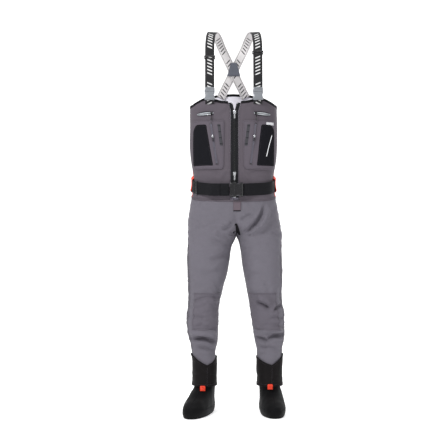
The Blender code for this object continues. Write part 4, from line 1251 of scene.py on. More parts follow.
# lace tabs sewn to the guards' hems, and their turning hooks
LACE = {-1: (Vector((-0.128, -0.0770, 0.107)), 24.4), 1: (Vector((0.1505, -0.0731, 0.113)), 10.0)}
for side in (-1, 1):
    w = WORD[side]
    middle, lean = LACE[side]
    lace = Matrix.Translation(middle) @ Matrix.Rotation(math.radians(-lean), 4, "X")
    tab = Build(f"lace_tab_{w}_strap", [ORANGE])
    outline = [(-0.0105, -0.0108), (0.0105, -0.0108), (0.0110, 0.0060), (0.0085, 0.0108), (-0.0085, 0.0108),
               (-0.0110, 0.0060)]
    tab.plate(outline, 0.0020, bevel=0.0007)
    tab.box((0.0186, 0.0016, 0.0044), (0, -0.0004, 0.0060), bevel=0.0007, seg=3)
    finish_piece(tab.done(lace), ROOT, "orange_panel", f"lace_tab_{w}")
    face = tuple(lace.to_3x3() @ Vector((0, -1, 0)))
    for sx in (-1, 1):
        threads.row([tuple(lace @ Vector((sx * 0.0088, -0.0012, -0.0095 + 0.0005 * i))) for i in range(30)],
                    face, 0.003, 0.002)
    threads.row([tuple(lace @ Vector((-0.0080 + 0.0010 * i, -0.0012, -0.0093))) for i in range(17)], face,
                0.003, 0.002)
    hook = Build(f"lace_hook_{w}_wire", [ENAMEL])
    wire = [[(sx * a, b, c) for a, b,
             c in ((0.0062, 0.0, 0.0), (0.0062, -0.0001, -0.0050), (0.0052, -0.0002, -0.0085),
                                            (0.0036, -0.0006, -0.0110), (0.0026, -0.0020, -0.0126),
                                            (0.0020, -0.0040, -0.0128),
                                            (0.0016, -0.0054, -0.0116))] for sx in (-1, 1)]
    for leg in wire:
        hook.tube(leg, 0.0011, 10)
    hook.tube([wire[0][-1], (0, -0.0057, -0.0110), wire[1][-1]], 0.0011, 10)
    hook.rod(0.0015, 0.0158, (0, 0, 0), axis=(1, 0, 0), seg=16)
    hook.box((0.0092, 0.0014, 0.0034), (0, -0.0001, -0.0062), bevel=0.0006)
    finish_piece(hook.done(lace @ Matrix.Translation(Vector((0, -0.0038, 0.0060)))), f"lace_hook_{w}",
                 "zip_metal",
                 f"lace_hook_{w}")


# ================================================================ pockets and panels on the bib
POCKET = 0.0010
POCKET_T = 0.0028
LAYER = POCKET + POCKET_T + 0.0009
WARMER_FOOT = {-1: 0.0845, 1: 0.0938}
WARMER_TOP = 0.1120
CHEST_LINE = {-1: (0.0680, 0.0925), 1: (0.0685, 0.0885)}


def panel(name, edges, base, thick, mats, radii=(0.010, 0.010), seam=0.0045, roll=0.0016, puff=0.0,
          cell=0.003,
          slot="bib_fabric", node=None):
    """Raised panel on the bib: edges(v) gives x0, x1 and z from foot to top, radii its corners."""
    lo, hi = edges(0.0)[2], edges(1.0)[2]
    height = hi - lo
    r0, r1 = radii
    arc = np.linspace(0, math.pi / 2, 9)
    v0 = r0 * (1 - np.cos(arc)) / height if r0 else np.zeros(1)
    v1 = 1 - (r1 * (1 - np.cos(arc)) / height)[::-1] if r1 else np.ones(1)
    n_mid = max(6, int((v1[0] - v0[-1]) * height / cell))
    v = np.concatenate([v0, np.linspace(v0[-1], v1[0], n_mid)[1:-1], v1])
    d0, d1 = v * height, (1 - v) * height
    inset = np.zeros_like(v)
    if r0:
        inset += np.where(d0 < r0, r0 - np.sqrt(np.maximum(0, r0**2 - (r0 - d0) ** 2)), 0)
    if r1:
        inset += np.where(d1 < r1, r1 - np.sqrt(np.maximum(0, r1**2 - (r1 - d1) ** 2)), 0)
    X0, X1, Z = np.array([edges(t) for t in v]).T
    span = np.max(np.abs(X1 - X0))
    cols = max(8, int(span / cell))
    rim = np.array([0.0, 0.25, 0.55, 1.0]) * 0.0016 / span
    u = np.concatenate([rim, np.linspace(rim[-1], 1 - rim[-1], cols)[1:-1], 1 - rim[::-1]])[None, :]
    sgn = np.sign(X1 - X0)
    A = (X0 + sgn * inset)[:, None]
    B = (X1 - sgn * inset)[:, None]
    x = A + (B - A) * u
    z = np.broadcast_to(Z[:, None], x.shape)
    side_d = np.minimum(u, 1 - u) * np.abs(B - A)
    end_d = np.minimum(d0, d1)[:, None]
    edge = np.minimum(side_d + 0 * end_d, end_d)
    h = base - 0.0012 + (thick + 0.0012) * smooth(edge, -0.0003, roll)
    h = h - 0.0008 * np.exp(-((edge - seam) / 0.0011) ** 2) + puff * smooth(edge, seam, 0.035)
    P, N = on_bib(x, z, h)
    ob = shell(name, P, 0, mats, outward=forward)
    finish_piece(ob, ROOT, slot, *([node] if node else []))
    inner = np.argmin(np.abs(side_d[len(v) // 2] - seam)[: cols // 2])
    k0, k1 = int(np.argmin(np.abs(d0 - seam))), int(np.argmin(np.abs(d1 - seam)))
    loop = [(j, inner) for j in range(k0, k1 + 1)] + [(k1, i) for i in range(inner, x.shape[1] - inner)]
    loop += [(j, x.shape[1] - 1 - inner) for j in range(k1, k0 - 1, -1)]
    loop += [(k0, i) for i in range(x.shape[1] - 1 - inner, inner - 1, -1)]
    rows_, cols_ = np.array(loop).T
    return P, N, P[rows_, cols_], N[rows_, cols_]


def pocket_edges(side):
    def f(v):
        z = 1.008 + 0.200 * v
        inner = 0.040 - 0.002 * v
        outer = min(0.1665 - 0.004 * max(0, 0.5 - v) + 0.002 * v, float(half_width(z)) * 0.945)
        return side * inner, side * outer, z
    return f


def warmer_edges(side):
    def f(v):
        z = 1.024 + 0.166 * v
        inner = WARMER_FOOT[side] + (WARMER_TOP - WARMER_FOOT[side]) * v
        outer = 0.162 - 0.012 * max(0, (v - 0.80) / 0.20) ** 2
        return side * inner, side * outer, z
    return f


def dock_edges(side):
    def f(v):
        z = 1.105 + 0.087 * v
        x = 0.050 + 0.011 * v
        return side * (x - 0.006), side * (x + 0.006), z
    return f


for side in (-1, 1):
    w = WORD[side]
    _, _, loop, ln = panel(f"chest_pocket_{w}_cloth", pocket_edges(side), POCKET, POCKET_T, [POCKET_LIT_CLOTH],
                           (0.016, 0.008), puff=0.0016,
                           node=f"chest_pocket_{w}")
    threads.row(loop, ln)
    P, N, loop, ln = panel(f"warmer_panel_{w}_cloth", warmer_edges(side), LAYER + 0.0004, 0.0014, [PANEL],
                           (0.006, 0.006),
                           seam=0.0035, node=f"warmer_panel_{w}", slot="black_panel")
    threads.row(loop, ln)
    rim = np.concatenate([P[2:-2, 1], P[-2, 2:-2], P[2:-2, -2][::-1]])
    rn = np.concatenate([N[2:-2, 1], N[-2, 2:-2], N[2:-2, -2][::-1]])
    finish_piece(tape(f"warmer_binding_{w}", rim + rn * 0.0006, rn, 0.0032, 0.0013, [BINDING]), ROOT,
                 "black_panel")
    _, _, loop, ln = panel(f"dock_strip_{w}_cloth", dock_edges(side), LAYER, 0.0012, [DOCK], (0.002, 0.002),
                           seam=0.0018,
                           roll=0.0008, cell=0.002, node=f"dock_strip_{w}", slot="black_panel")
    # bar tacks that divide the docking strip into loops
    tacks = Build(f"dock_tacks_{w}", [BINDING])
    for i in range(4):
        _, _, z = dock_edges(side)(0.08 + 0.28 * i)
        x = side * (0.050 + 0.011 * (0.08 + 0.28 * i))
        (p,), (n,) = (a[None] if a.ndim == 1 else a for a in on_bib(np.array([x]), np.array([z]),
                                                                    LAYER + 0.0014))
        tacks.box((0.0112, 0.0010, 0.0022), p, facing_way(n), bevel=0.0004)
    finish_piece(tacks.done(), ROOT, "black_panel")

# a slim slanted reflective bar on one warmer panel, and a blank sewn label by the collar
run = np.linspace(0, 1, 40)
P, N = on_bib(0.131 + 0.021 * run, 1.062 + 0.086 * run, LAYER + 0.0022)
finish_piece(tape("reflective_bar", P, N, 0.0032, 0.0006, [REFLECT]), ROOT, "zip_metal")


def label_edges(v):
    return 0.131, 0.161, 1.190 + 0.0120 * v


_, _, loop, ln = panel("blank_label", label_edges, LAYER + 0.0002, 0.0008, [LABEL], (0.001, 0.001),
                       seam=0.0012, roll=0.0005,
                       cell=0.0015)
threads.row(loop, ln, 0.003, 0.002, 0.0003)


# ================================================================ zips
ZB, ZT = 0.893, 1.279


def teeth_rows(b, points, across, nrm, up, size, index):
    """Little zip teeth along a line."""
    for p, a, n, t in zip(points, across, nrm, up):
        m = Matrix((a, n, t)).transposed().to_4x4()
        r = bmesh.ops.create_cube(b.bm, size=1.0)
        bmesh.ops.scale(b.bm, vec=Vector(size), verts=r["verts"])
        for v in r["verts"]:
            if v.co.x < 0:
                v.co.z *= 0.72
        m.translation = Vector(p)
        bmesh.ops.transform(b.bm, matrix=m, verts=r["verts"])
        for f in {f for v in r["verts"] for f in v.link_faces}:
            f.material_index = index


for side in (-1, 1):
    w = WORD[side]
    rows, cols = 110, 12
    z = np.linspace(ZB, ZT, rows)[:, None]
    u = np.linspace(0, 1, cols)[None, :]
    op = opened(z)
    x = ZIP_X + side * (0.0004 + op + 0.0155 * u)
    lip = 0.0008 * np.exp(-((u - 0.30) / 0.08) ** 2)
    y = front_y(x, z + 0 * u) - 0.0004 - lip
    T = np.stack([x, y, z + 0 * x], axis=-1)
    ob = shell(f"zip_tape_{w}_cloth", T, 0.0012, [TAPE], outward=forward)
    finish_piece(ob, ROOT, "zip_tape", f"zip_tape_{w}")
    threads.row(T[2:-2, 9] + np.array([0, -0.0002, 0]), (0, -1, 0))
    teeth = Build(f"zip_teeth_{w}", [RUBBER])
    pitch = 0.0028
    count = int((ZT - ZB - 0.006) / pitch)
    zs = ZB + 0.003 + pitch * (np.arange(count) + (0.5 if side > 0 else 0.0))
    closed = smooth(zs, 1.2440, 1.2360)
    xs = ZIP_X + side * (0.0022 + opened(zs) - 0.0013 * closed)
    ys = front_y(xs, zs) - 0.0012
    pts = np.stack([xs, ys, zs], axis=-1)
    one = np.ones(count)
    acr = np.stack([side * one, 0 * one, 0 * one], axis=-1)
    nr = np.stack([0 * one, -one * side, 0 * one], axis=-1)
    upv = np.stack([0 * one, 0 * one, one], axis=-1)
    teeth_rows(teeth, pts, acr, nr, upv, (0.0042, 0.0022, 0.0017), 0)
    # the cord that the teeth sit on
    cord = np.stack([ZIP_X + side * (0.0046 + opened(z[:, 0])),
                     front_y(ZIP_X + side * 0.0046, z[:, 0]) - 0.0011, z[:, 0]],
                    axis=-1)
    teeth.tube(cord, 0.0008, 8)
    finish_piece(teeth.done(), ROOT, "zip_tape")

# the zip leans forward a little towards its top
ZIP_LEAN = 0.0251
ZIP_OUT = Vector((0, -1, -ZIP_LEAN)).normalized()
ZIP_UP = Vector((0, -ZIP_LEAN, 1)).normalized()


def zip_frame(z):
    p = Vector((ZIP_X, -float(front(z)) - 0.0022, z))
    m = line_frame(p, p + ZIP_UP * 0.01, ZIP_OUT)
    m.translation = p
    return m


def slider(stem, base, w, h, d, pull_len, pull_w, body_mat, pull_mat, slots, ribs=4):
    """Saddle slider with a bridge, and a pull that hangs from a barrel in it."""
    s = Build(f"{stem}_slider_body", [body_mat])
    shield = [(-w * 0.34, h * 0.5), (w * 0.34, h * 0.5), (w * 0.5, h * 0.30), (w * 0.46, -h * 0.12),
              (w * 0.33, -h * 0.5),
              (-w * 0.33, -h * 0.5), (-w * 0.46, -h * 0.12), (-w * 0.5, h * 0.30)]
    s.plate(shield, d * 0.62, (0, -d * 0.69, 0), bevel=0.0006)
    inner = [(x * 0.92, z * 0.92) for x, z in shield]
    s.plate(inner, d * 0.50, (0, -d * 0.26, 0), bevel=0.0004)
    for k in (-1, 1):
        s.box((0.0013, 0.0050, 0.0056), (k * (pull_w / 2 + 0.0011), -d - 0.0021, 0), bevel=0.0005)
    s.tube([(0, -d + 0.0002, h * 0.36), (0, -d - 0.0012, h * 0.33), (0, -d - 0.0016, h * 0.26),
            (0, -d - 0.0006, h * 0.20)],
           0.0009)
    s.tube([(0, -d + 0.0002, -h * 0.36), (0, -d - 0.0008, -h * 0.33), (0, -d + 0.0002, -h * 0.27)], 0.0009)
    finish_piece(s.done(base), f"{stem}_slider", slots[0], f"{stem}_slider")
    piv = base @ Matrix.Translation(Vector((0, -d - 0.0024, 0)))
    p = Build(f"{stem}_pull_tab", [pull_mat, body_mat])
    p.rod(0.0014, pull_w * 0.98, (0, 0, 0), axis=(1, 0, 0), seg=14, index=1)
    pw, L = pull_w, pull_len
    neck = [(-pw * 0.40, -0.0004), (pw * 0.40, -0.0004), (pw * 0.30, -L * 0.26), (-pw * 0.30, -L * 0.26)]
    p.plate(neck, 0.0012, bevel=0.0003, index=1)
    end = []
    for k in range(9):
        a = math.pi * k / 8
        end.append((pw * 0.5 * math.cos(a), -L + pw * 0.5 - pw * 0.5 * math.sin(a)))
    tab = [(-pw * 0.42, -L * 0.22), (pw * 0.42, -L * 0.22)] + end
    p.plate(tab, 0.0016, (0, -0.0001, 0), bevel=0.0004)
    for k in range(ribs):
        p.box((pw * 0.66, 0.0006, 0.0008), (0, -0.0011, -L * (0.42 + 0.12 * k)), bevel=0.0002)
    finish_piece(p.done(piv), f"{stem}_pull", slots[1], f"{stem}_pull")


for stem, z in (("upper", 1.2400), ("lower", 0.9900)):
    slider(stem, zip_frame(z), 0.0120, 0.0150, 0.0042, 0.026, 0.0060, SILVER, SILVER,
           ("zip_metal", "zip_metal"))

stops = Build("zip_stops", [SILVER])
for z, s in ((ZB + 0.0015, 0.0), (ZT - 0.002, 1.0), (ZT - 0.002, -1.0)):
    x = ZIP_X + s * (0.0024 + float(opened(z)))
    stops.box((0.0056 if s else 0.0090, 0.0028, 0.0034), (x, float(front_y(x, z)) - 0.0014, z),
              bevel=0.0006)
finish_piece(stops.done(), ROOT, "zip_metal")

for side in (-1, 1):
    w = WORD[side]
    xa, xb = CHEST_LINE[side]
    p0, _ = bare(side * xa, 1.030, LAYER + 0.0016)
    p1, _ = bare(side * xb, 1.196, LAYER + 0.0016)
    _, nrm = bare(side * (xa + xb) / 2, 1.11, 0)
    fr = line_frame(p0, p1, nrm)
    ln = (p1 - p0).length
    # water-resistant zip: two glossy lips that meet over a coil, on a sewn-in tape
    zb = Build(f"chest_zip_{w}_lips", [LIP, POCKET_LIT_CLOTH, BLACK])
    zb.box((0.0140, 0.0026, ln + 0.004), (0, 0.0012, 0), bevel=0.0009, index=1)
    for k in (-1, 1):
        zb.box((0.0034, 0.0021, ln - 0.002), (k * 0.00185, -0.0003, 0), bevel=0.0009, seg=3)
    for k in (-1, 1):
        zb.box((0.0080, 0.0024, 0.0030), (0, -0.0006, k * (ln / 2 - 0.0005)), bevel=0.0007, index=2)
    finish_piece(zb.done(fr), ROOT, "zip_tape", f"chest_zip_{w}")
    for k in (-1, 1):
        line = [fr @ Vector((k * 0.0058, -0.0002, -ln / 2 + ln * i / 40)) for i in range(41)]
        threads.row([tuple(q) for q in line], tuple(nrm))
    base = fr @ Matrix.Translation(Vector((0, -0.0014, 0.030)))
    slider(f"chest_{w}", base, 0.0075, 0.0110, 0.0030, 0.022, 0.0040, SILVER, BLACK,
           ("zip_metal", "black_plastic"), 3)

    # top zip: a lens-shaped opening whose pale middle is a painted highlight on the glossy zip, with a coil
    # down its middle
    rows, cols = 12, 40
    u = np.linspace(0, 1, cols)[None, :]
    v = np.linspace(-1, 1, rows)[:, None]
    x = 0.083 + 0.066 * u
    half = 0.0045 + 0.0040 * np.sin(math.pi * u)
    z = 1.2375 - 0.004 * u + v * half
    rim = 1 - smooth(np.abs(v) + 0 * u, 0.55, 0.95)
    P, N = on_bib(side * x, z, 0.0026 - 0.0012 * rim)
    # the middle of the lens takes the pale painted highlight, its rim the dark binding
    fm = np.where(np.abs((v[:-1] + v[1:]) / 2) + 0 * u[:, :-1] > 0.62, 0, 1).astype(int).ravel()
    ob = shell(f"top_zip_{w}_lens", P, 0.0010, [BINDING, ZIP_PAINTED_HIGHLIGHT], outward=forward, face_mats=fm)
    finish_piece(ob, ROOT, "zip_tape", f"top_zip_{w}")
    coil = Build(f"top_zip_coil_{w}", [RUBBER])
    for i in range(26):
        t = (i + 0.5) / 26
        cx_, cz_ = side * (0.085 + 0.062 * t), 1.2375 - 0.004 * t
        P1, N1 = on_bib(np.array([cx_]), np.array([cz_]), 0.0022)
        coil.box((0.0013, 0.0014, 0.0034), P1[0], facing_way(N1[0]), bevel=0.0004)
    finish_piece(coil.done(), ROOT, "zip_tape")
    q0, _ = bare(side * 0.0895, 1.237, 0.0036)
    q1, _ = bare(side * 0.1180, 1.2355, 0.0036)
    _, nrm = bare(side * 0.100, 1.236, 0)
    fr = line_frame(q0, q1, nrm)
    L = (q1 - q0).length
    start = fr @ Matrix.Translation(Vector((0, -0.0009, -L / 2)))
    s = Build(f"top_{w}_slider_body", [BLACK])
    shield = [(-0.0028, 0.0050), (0.0028, 0.0050), (0.0038, 0.0024), (0.0030, -0.0050), (-0.0030, -0.0050),
              (-0.0038, 0.0024)]
    s.plate(shield, 0.0026, (0, -0.0014, 0), bevel=0.0006)
    s.tube([(0, -0.0028, 0.0030), (0, -0.0044, 0.0018), (0, -0.0044, -0.0010), (0, -0.0028, -0.0026)],
           0.0008)
    finish_piece(s.done(start), f"top_{w}_slider", "zip_metal", f"top_{w}_slider")
    cp = start.translation + nrm * 0.0048
    rz = facing_way(Vector((nrm.x, nrm.y, 0)).normalized())
    p = Build(f"top_{w}_pull_cord", [BINDING, BLACK])
    p.ring(0.0022, 0.0008, (0, 0, -0.0004), index=1)
    for k in (-1, 1):
        p.tube([(0, 0, -0.0024), (k * 0.0010, 0, -0.0060), (k * 0.0011, 0, -0.0120),
                (k * 0.0009, 0, -0.0180)], 0.0008)
    grip = [(-0.0016, -0.0160), (0.0016, -0.0160), (0.0021, -0.0220), (0.0021, -0.0290), (0.0012, -0.0304),
            (-0.0012, -0.0304),
            (-0.0021, -0.0290), (-0.0021, -0.0220)]
    p.plate(grip, 0.0026, bevel=0.0007, index=1)
    for k in range(3):
        p.box((0.0034, 0.0004, 0.0008), (0, -0.0014, -0.0215 - 0.0024 * k), bevel=0.0002, index=1)
    finish_piece(p.done(Matrix.Translation(cp) @ rz), f"top_{w}_pull", "black_plastic", f"top_{w}_pull")


# ================================================================ belt
BELT_Y = -0.1330
BELT_Z = 0.925
WIDE = 0.050


def convex(points):
    """Convex outline round the points."""
    pts = sorted(points)

    def chain(ps):
        h = []
        for p in ps:
            while len(h) > 1 and ((h[-1][0] - h[-2][0]) * (p[1] - h[-2][1])
                                  - (h[-1][1] - h[-2][1]) * (p[0] - h[-2][0])) <= 0:
                h.pop()
            h.append(p)
        return h
    return np.array(chain(pts)[:-1] + chain(pts[::-1])[:-1])


def belt_path(n):
    """Even points of the belt's middle line, from the buckle's socket round the back to its tongue."""
    t = np.linspace(0, 2 * math.pi, 240, endpoint=False)
    c, s = np.cos(t), np.sin(t)
    z = 0.953 - 0.0253 * s
    x = (half_width(z) + 0.0068) * spow(c, 2 / POWER)
    y = -np.where(s >= 0, front(z) + 0.0052, back(z) + 0.0050) * spow(s, 2 / POWER)
    loop = convex(list(zip(x, y)) + [(-0.092, BELT_Y), (0.052, BELT_Y)])
    k = int(np.argmin(np.hypot(loop[:, 0] - 0.052, loop[:, 1] - BELT_Y)))
    path = np.vstack([[0.0370, BELT_Y], np.roll(loop, -k, axis=0)])
    j = int(np.argmin(np.hypot(path[:, 0] + 0.092, path[:, 1] - BELT_Y)))
    path = np.vstack([path[:j + 1], [-0.0190, BELT_Y]])
    seg = np.hypot(*np.diff(path, axis=0).T)
    cum = np.concatenate([[0], np.cumsum(seg)])
    t = np.linspace(0, cum[-1], n)
    x, y = np.interp(t, cum, path[:, 0]), np.interp(t, cum, path[:, 1])
    for _ in range(3):
        x[1:-1] = (x[:-2] + 2 * x[1:-1] + x[2:]) / 4
        y[1:-1] = (y[:-2] + 2 * y[1:-1] + y[2:]) / 4
    z = np.where(y > -0.10, 0.953 + 0.23 * y, 0.930 + (y + 0.10) * (0.005 / 0.033))
    return np.stack([x, y, z], axis=-1)


def web(name, path, across, out, width, thick, mats, face_mats=None, slot="webbing", node=None, body=ROOT):
    prof = flat_profile(width, thick)
    ob = sweep(name, path, across, out, prof, mats, uv_scale=width, face_mats=face_mats)
    return finish_piece(ob, body, slot, *([node] if node else []))


path = belt_path(300)
tan = unit(np.gradient(path, axis=0))
up = np.zeros_like(path)
up[:, 2] = 1
side_out = unit(np.cross(up, tan))
side_out *= np.sign(np.sum(side_out * path * np.array([1, 1, 0]), axis=1, keepdims=True))
web("belt_web", path, up, side_out, WIDE, 0.0020, [BELT], node="belt_webbing")
# the free end is doubled back over the belt, held by a keeper, on the wearer's right
far = np.linalg.norm(np.diff(path, axis=0), axis=1)
cum = np.concatenate([[0], np.cumsum(far)])
length = cum[-1]
sel = (cum > length - 0.205) & (cum < length - 0.036)
tail = path[sel] + side_out[sel] * 0.0024
web("belt_tail", tail, up[sel], side_out[sel], WIDE - 0.001, 0.0018, [BELT])
threads.row(tail[2:6] + side_out[sel][2:6] * 0.0010, side_out[sel][2:6])
for s0, name in ((length - 0.150, "keeper"),):
    i = int(np.argmin(np.abs(cum - s0)))
    b = Build(f"belt_{name}", [BLACK])
    m = Matrix((Vector(tan[i]), Vector(-side_out[i]), Vector((0, 0, 1)))).transposed().to_4x4()
    m.translation = Vector(path[i] + side_out[i] * 0.0012)
    for zz in (-1, 1):
        b.box((0.0090, 0.0078, 0.0022), (0, 0, zz * (WIDE / 2 + 0.0013)), bevel=0.0007)
    b.box((0.0090, 0.0014, WIDE + 0.0036), (0, -0.0032, 0), bevel=0.0005)
    finish_piece(b.done(m), ROOT, "black_plastic")
# belt loops sewn on the bib
for k, (s0, wl) in enumerate(((0.350, 0.022), (0.480, 0.022), (0.610, 0.022))):
    i = int(np.argmin(np.abs(cum - s0 * length / 0.905)))
    o = side_out[i]
    hgt = np.linspace(-1, 1, 41)
    bow = 0.0030 * np.clip((1 - np.abs(hgt) ** 8), 0, 1)
    pts = path[i] + np.outer(hgt * 0.034, [0, 0, 1]) + o * (bow - 0.0012)[:, None]
    web(f"belt_loop_{k}", pts, np.broadcast_to(tan[i], pts.shape), np.broadcast_to(o, pts.shape), wl,
        0.0014, [BIB],
        slot="bib_fabric")
    for e in (1, 3, 37, 39):
        a = pts[e] + o * 0.0008
        threads.row([a + tan[i] * (wl * 0.42) * f for f in np.linspace(-1, 1, 12)], o, 0.003, 0.0022)


# wide orange tunnels over the belt at both sides, sewn along their top and bottom edges
for side in (-1, 1):
    psi = np.linspace(math.radians(19), math.radians(-33), 60)[None, :]
    v = np.linspace(-1, 1, 34)[:, None]
    z0 = np.full(psi.shape, 0.953)
    for _ in range(3):
        _, y0 = trunk(z0, psi)
        z0 = 0.953 + 0.23 * y0
    z = z0 + 0.0330 * v
    x, y = trunk(z, psi)
    T = np.stack([side * x, y, z], axis=-1)
    NT = outward_normals(T, radial(T))
    rise = 0.0014 + 0.0092 * (1 - smooth(np.abs(v), 0.74, 0.97)) + ripple(T, 0.04, 0.0005, 91)
    T = T + NT * (rise + 0.0004 * (1 - smooth(np.abs(v), 0.9, 0.95)))[..., None]
    ob = shell(f"belt_tunnel_{WORD[side]}", T, 0.0010, [ORANGE], outward=radial)
    finish_piece(ob, ROOT, "orange_panel")
    for r in (1, -2):
        threads.row(T[r, 1:-1], NT[r, 1:-1])


# ================================================================ side-release buckles
def rounded(w, h, r, n=6):
    """Rectangle outline with round corners."""
    pts = []
    for cx, cz, a0 in ((w / 2 - r, h / 2 - r, 0), (-w / 2 + r, h / 2 - r, 90),
                       (-w / 2 + r, -h / 2 + r, 180),
                       (w / 2 - r, -h / 2 + r, 270)):
        for k in range(n + 1):
            a = math.radians(a0 + 90 * k / n)
            pts.append((cx + r * math.cos(a), cz + r * math.sin(a)))
    return pts


def ringed(b, outer, inner, y0, y1):
    """Frame between two outlines with the same number of points, y0 in front of y1."""
    n = len(outer)
    layers = []
    for y in (y1, y0):
        layers.append([[b.bm.verts.new((x, y, z)) for x, z in outline] for outline in (outer, inner)])
    faces = []
    (oa, ia), (ob_, ib) = layers
    for k in range(n):
        j = (k + 1) % n
        faces += [(oa[k], oa[j], ob_[j], ob_[k]), (ia[j], ia[k], ib[k], ib[j]),
                  (ob_[k], ob_[j], ib[j], ib[k]),
                  (oa[j], oa[k], ia[k], ia[j])]
    made = [b.bm.faces.new(f) for f in faces]
    edges = [e for e in {e for f in made for e in f.edges} if e.calc_face_angle(0) > 0.9]
    bmesh.ops.bevel(b.bm, geom=edges, offset=0.0007, segments=2, profile=0.6, affect="EDGES")
    for f in b.bm.faces:
        f.smooth = True


def hull_body(b, sections, index=0):
    """Lofted body: sections of (z, half width, front y, back y, corner radius)."""
    rings = []
    for z, hw, yf, yb, r in sections:
        r = min(r, hw * 0.9, (yb - yf) / 2 * 0.98)
        pts = []
        for cx, cy, a0 in ((hw - r, yb - r, 0), (-hw + r, yb - r, 90), (-hw + r, yf + r, 180),
                           (hw - r, yf + r, 270)):
            for k in range(6):
                a = math.radians(a0 + 90 * k / 5)
                pts.append(b.bm.verts.new((cx + r * math.cos(a), cy + r * math.sin(a), z)))
        rings.append(pts)
    made = []
    for A_, B_ in zip(rings[:-1], rings[1:]):
        n = len(A_)
        for k in range(n):
            made.append(b.bm.faces.new((A_[k], A_[(k + 1) % n], B_[(k + 1) % n], B_[k])))
    made.append(b.bm.faces.new(rings[0][::-1]))
    made.append(b.bm.faces.new(rings[-1]))
    for f in made:
        f.material_index = index
        f.smooth = True


def side_release(stem, base, wide, mats, slot, tongue_body):
    """Socket below zero and tongue above zero along z; webbing lies in y = 0, prongs in front."""
    hw = (wide + 0.008) / 2
    s = Build(f"{stem}_socket_body", mats)
    prof = [(-0.0334, hw * 0.90), (-0.0328, hw * 0.955), (-0.0315, hw * 0.985), (-0.0290, hw),
            (-0.0230, hw * 0.985),
            (-0.0185, hw * 0.90), (-0.0150, hw * 0.845), (-0.0115, hw * 0.845), (-0.0080, hw * 0.90),
            (-0.0045, hw * 0.98),
            (-0.0020, hw), (-0.0010, hw * 0.985), (-0.0006, hw * 0.95)]
    rings = []
    for z, h in prof:
        end = min(1.0, abs(z + 0.0334) / 0.004, abs(z + 0.0006) / 0.003)
        t = math.sqrt(max(0.0, min(1.0, end))) * 0.0012
        dome = 0.0006 * math.sin(math.pi * (z + 0.0334) / 0.0328)
        rings.append((z, h, -0.0088 - t - dome, 0.0018 + t, 0.0042))
    hull_body(s, rings)
    # raised rim, a sunk oval with a ridge, and the slot bar across the webbing end
    s.box((hw * 1.30, 0.0012, 0.0016), (0, -0.0104, -0.0060), bevel=0.0005)
    s.box((hw * 1.05, 0.0010, 0.0014), (0, -0.0104, -0.0200), bevel=0.0005)
    s.box((hw * 0.80, 0.0010, 0.0014), (0, -0.0104, -0.0230), bevel=0.0005)
    s.box((hw * 1.55, 0.0032, 0.0026), (0, -0.0092, -0.0300), bevel=0.0011, seg=3)
    for k in (-1, 1):
        s.box((0.0018, 0.0066, 0.0090), (k * hw * 0.835, -0.0056, -0.0130), bevel=0.0007,
              index=len(mats) - 1)
    finish_piece(s.done(base), ROOT, slot, f"{stem}_socket")
    t_ = Build(f"{stem}_tongue_body", mats)
    prof = [(0.0006, hw * 0.95), (0.0012, hw * 0.985), (0.0025, hw), (0.0060, hw), (0.0100, hw * 0.985),
            (0.0150, hw * 0.975),
            (0.0180, hw * 0.95), (0.0190, hw * 0.91), (0.0194, hw * 0.86)]
    rings = []
    for z, h in prof:
        end = min(1.0, abs(z - 0.0194) / 0.004, abs(z - 0.0006) / 0.003)
        q = math.sqrt(max(0.0, min(1.0, end))) * 0.0012
        rings.append((z, h, -0.0086 - q, 0.0018 + q, 0.0042))
    hull_body(t_, rings)
    for z in (0.0088, 0.0128, 0.0166):
        t_.box((hw * 1.62, 0.0022, 0.0016), (0, -0.0096, z), bevel=0.0007)
    t_.box((wide * 0.30, 0.0036, 0.0230), (0, -0.0060, -0.0060), bevel=0.0008)
    for k in (-1, 1):
        arm = [(k * wide * 0.30, 0.0030), (k * wide * 0.41, 0.0030), (k * wide * 0.415, -0.0100),
               (k * wide * 0.44, -0.0140),
               (k * wide * 0.40, -0.0205), (k * wide * 0.34, -0.0212), (k * wide * 0.31, -0.0180)]
        t_.plate(arm if k > 0 else arm[::-1], 0.0036, (0, -0.0060, 0), bevel=0.0006)
    finish_piece(t_.done(base), tongue_body, slot, f"{stem}_tongue")


belt_base = Matrix.Translation(Vector((0.0040, BELT_Y, BELT_Z))) @ Matrix.Rotation(math.radians(-90), 4,
                                                                                   "Y")
side_release("belt", belt_base, 0.050, [BLACK, GUNMETAL], "black_plastic", "belt_tongue")


# ================================================================ suspenders
LEAN = 9.0
SX = 0.0985
BASE = Vector((SX, -0.1295, 1.300))
SDIR = Vector((0, math.sin(math.radians(LEAN)), math.cos(math.radians(LEAN))))
STRAP_W = 0.038
STRAP_T = 0.0016
ADJUSTER_AT = {-1: 0.170, 1: 0.190}
TONGUE_AT = 0.0220


def strap_frame(side, t):
    p = BASE + SDIR * t
    return Matrix.Translation(Vector((side * p.x, p.y, p.z))) @ Matrix.Rotation(math.radians(-LEAN), 4, "X")


def spline(pts, n):
    """Even points along a smooth curve through pts."""
    pts = [Vector(p) for p in pts]
    m = len(pts)
    dense = []
    for i in range(m - 1):
        a, b, c, d = pts[max(i - 1, 0)], pts[i], pts[i + 1], pts[min(i + 2, m - 1)]
        for k in range(12):
            t = k / 12
            dense.append(0.5 * ((2 * b) + (c - a) * t + (2 * a - 5 * b + 4 * c - d) * t * t
                                + (3 * b - a - 3 * c + d) * t ** 3))
    dense.append(pts[-1])
    arr = np.array([tuple(q) for q in dense])
    seg = np.linalg.norm(np.diff(arr, axis=0), axis=1)
    cum = np.concatenate([[0], np.cumsum(seg)])
    t = np.linspace(0, cum[-1], n)
    return np.stack([np.interp(t, cum, arr[:, j]) for j in range(3)], axis=1)


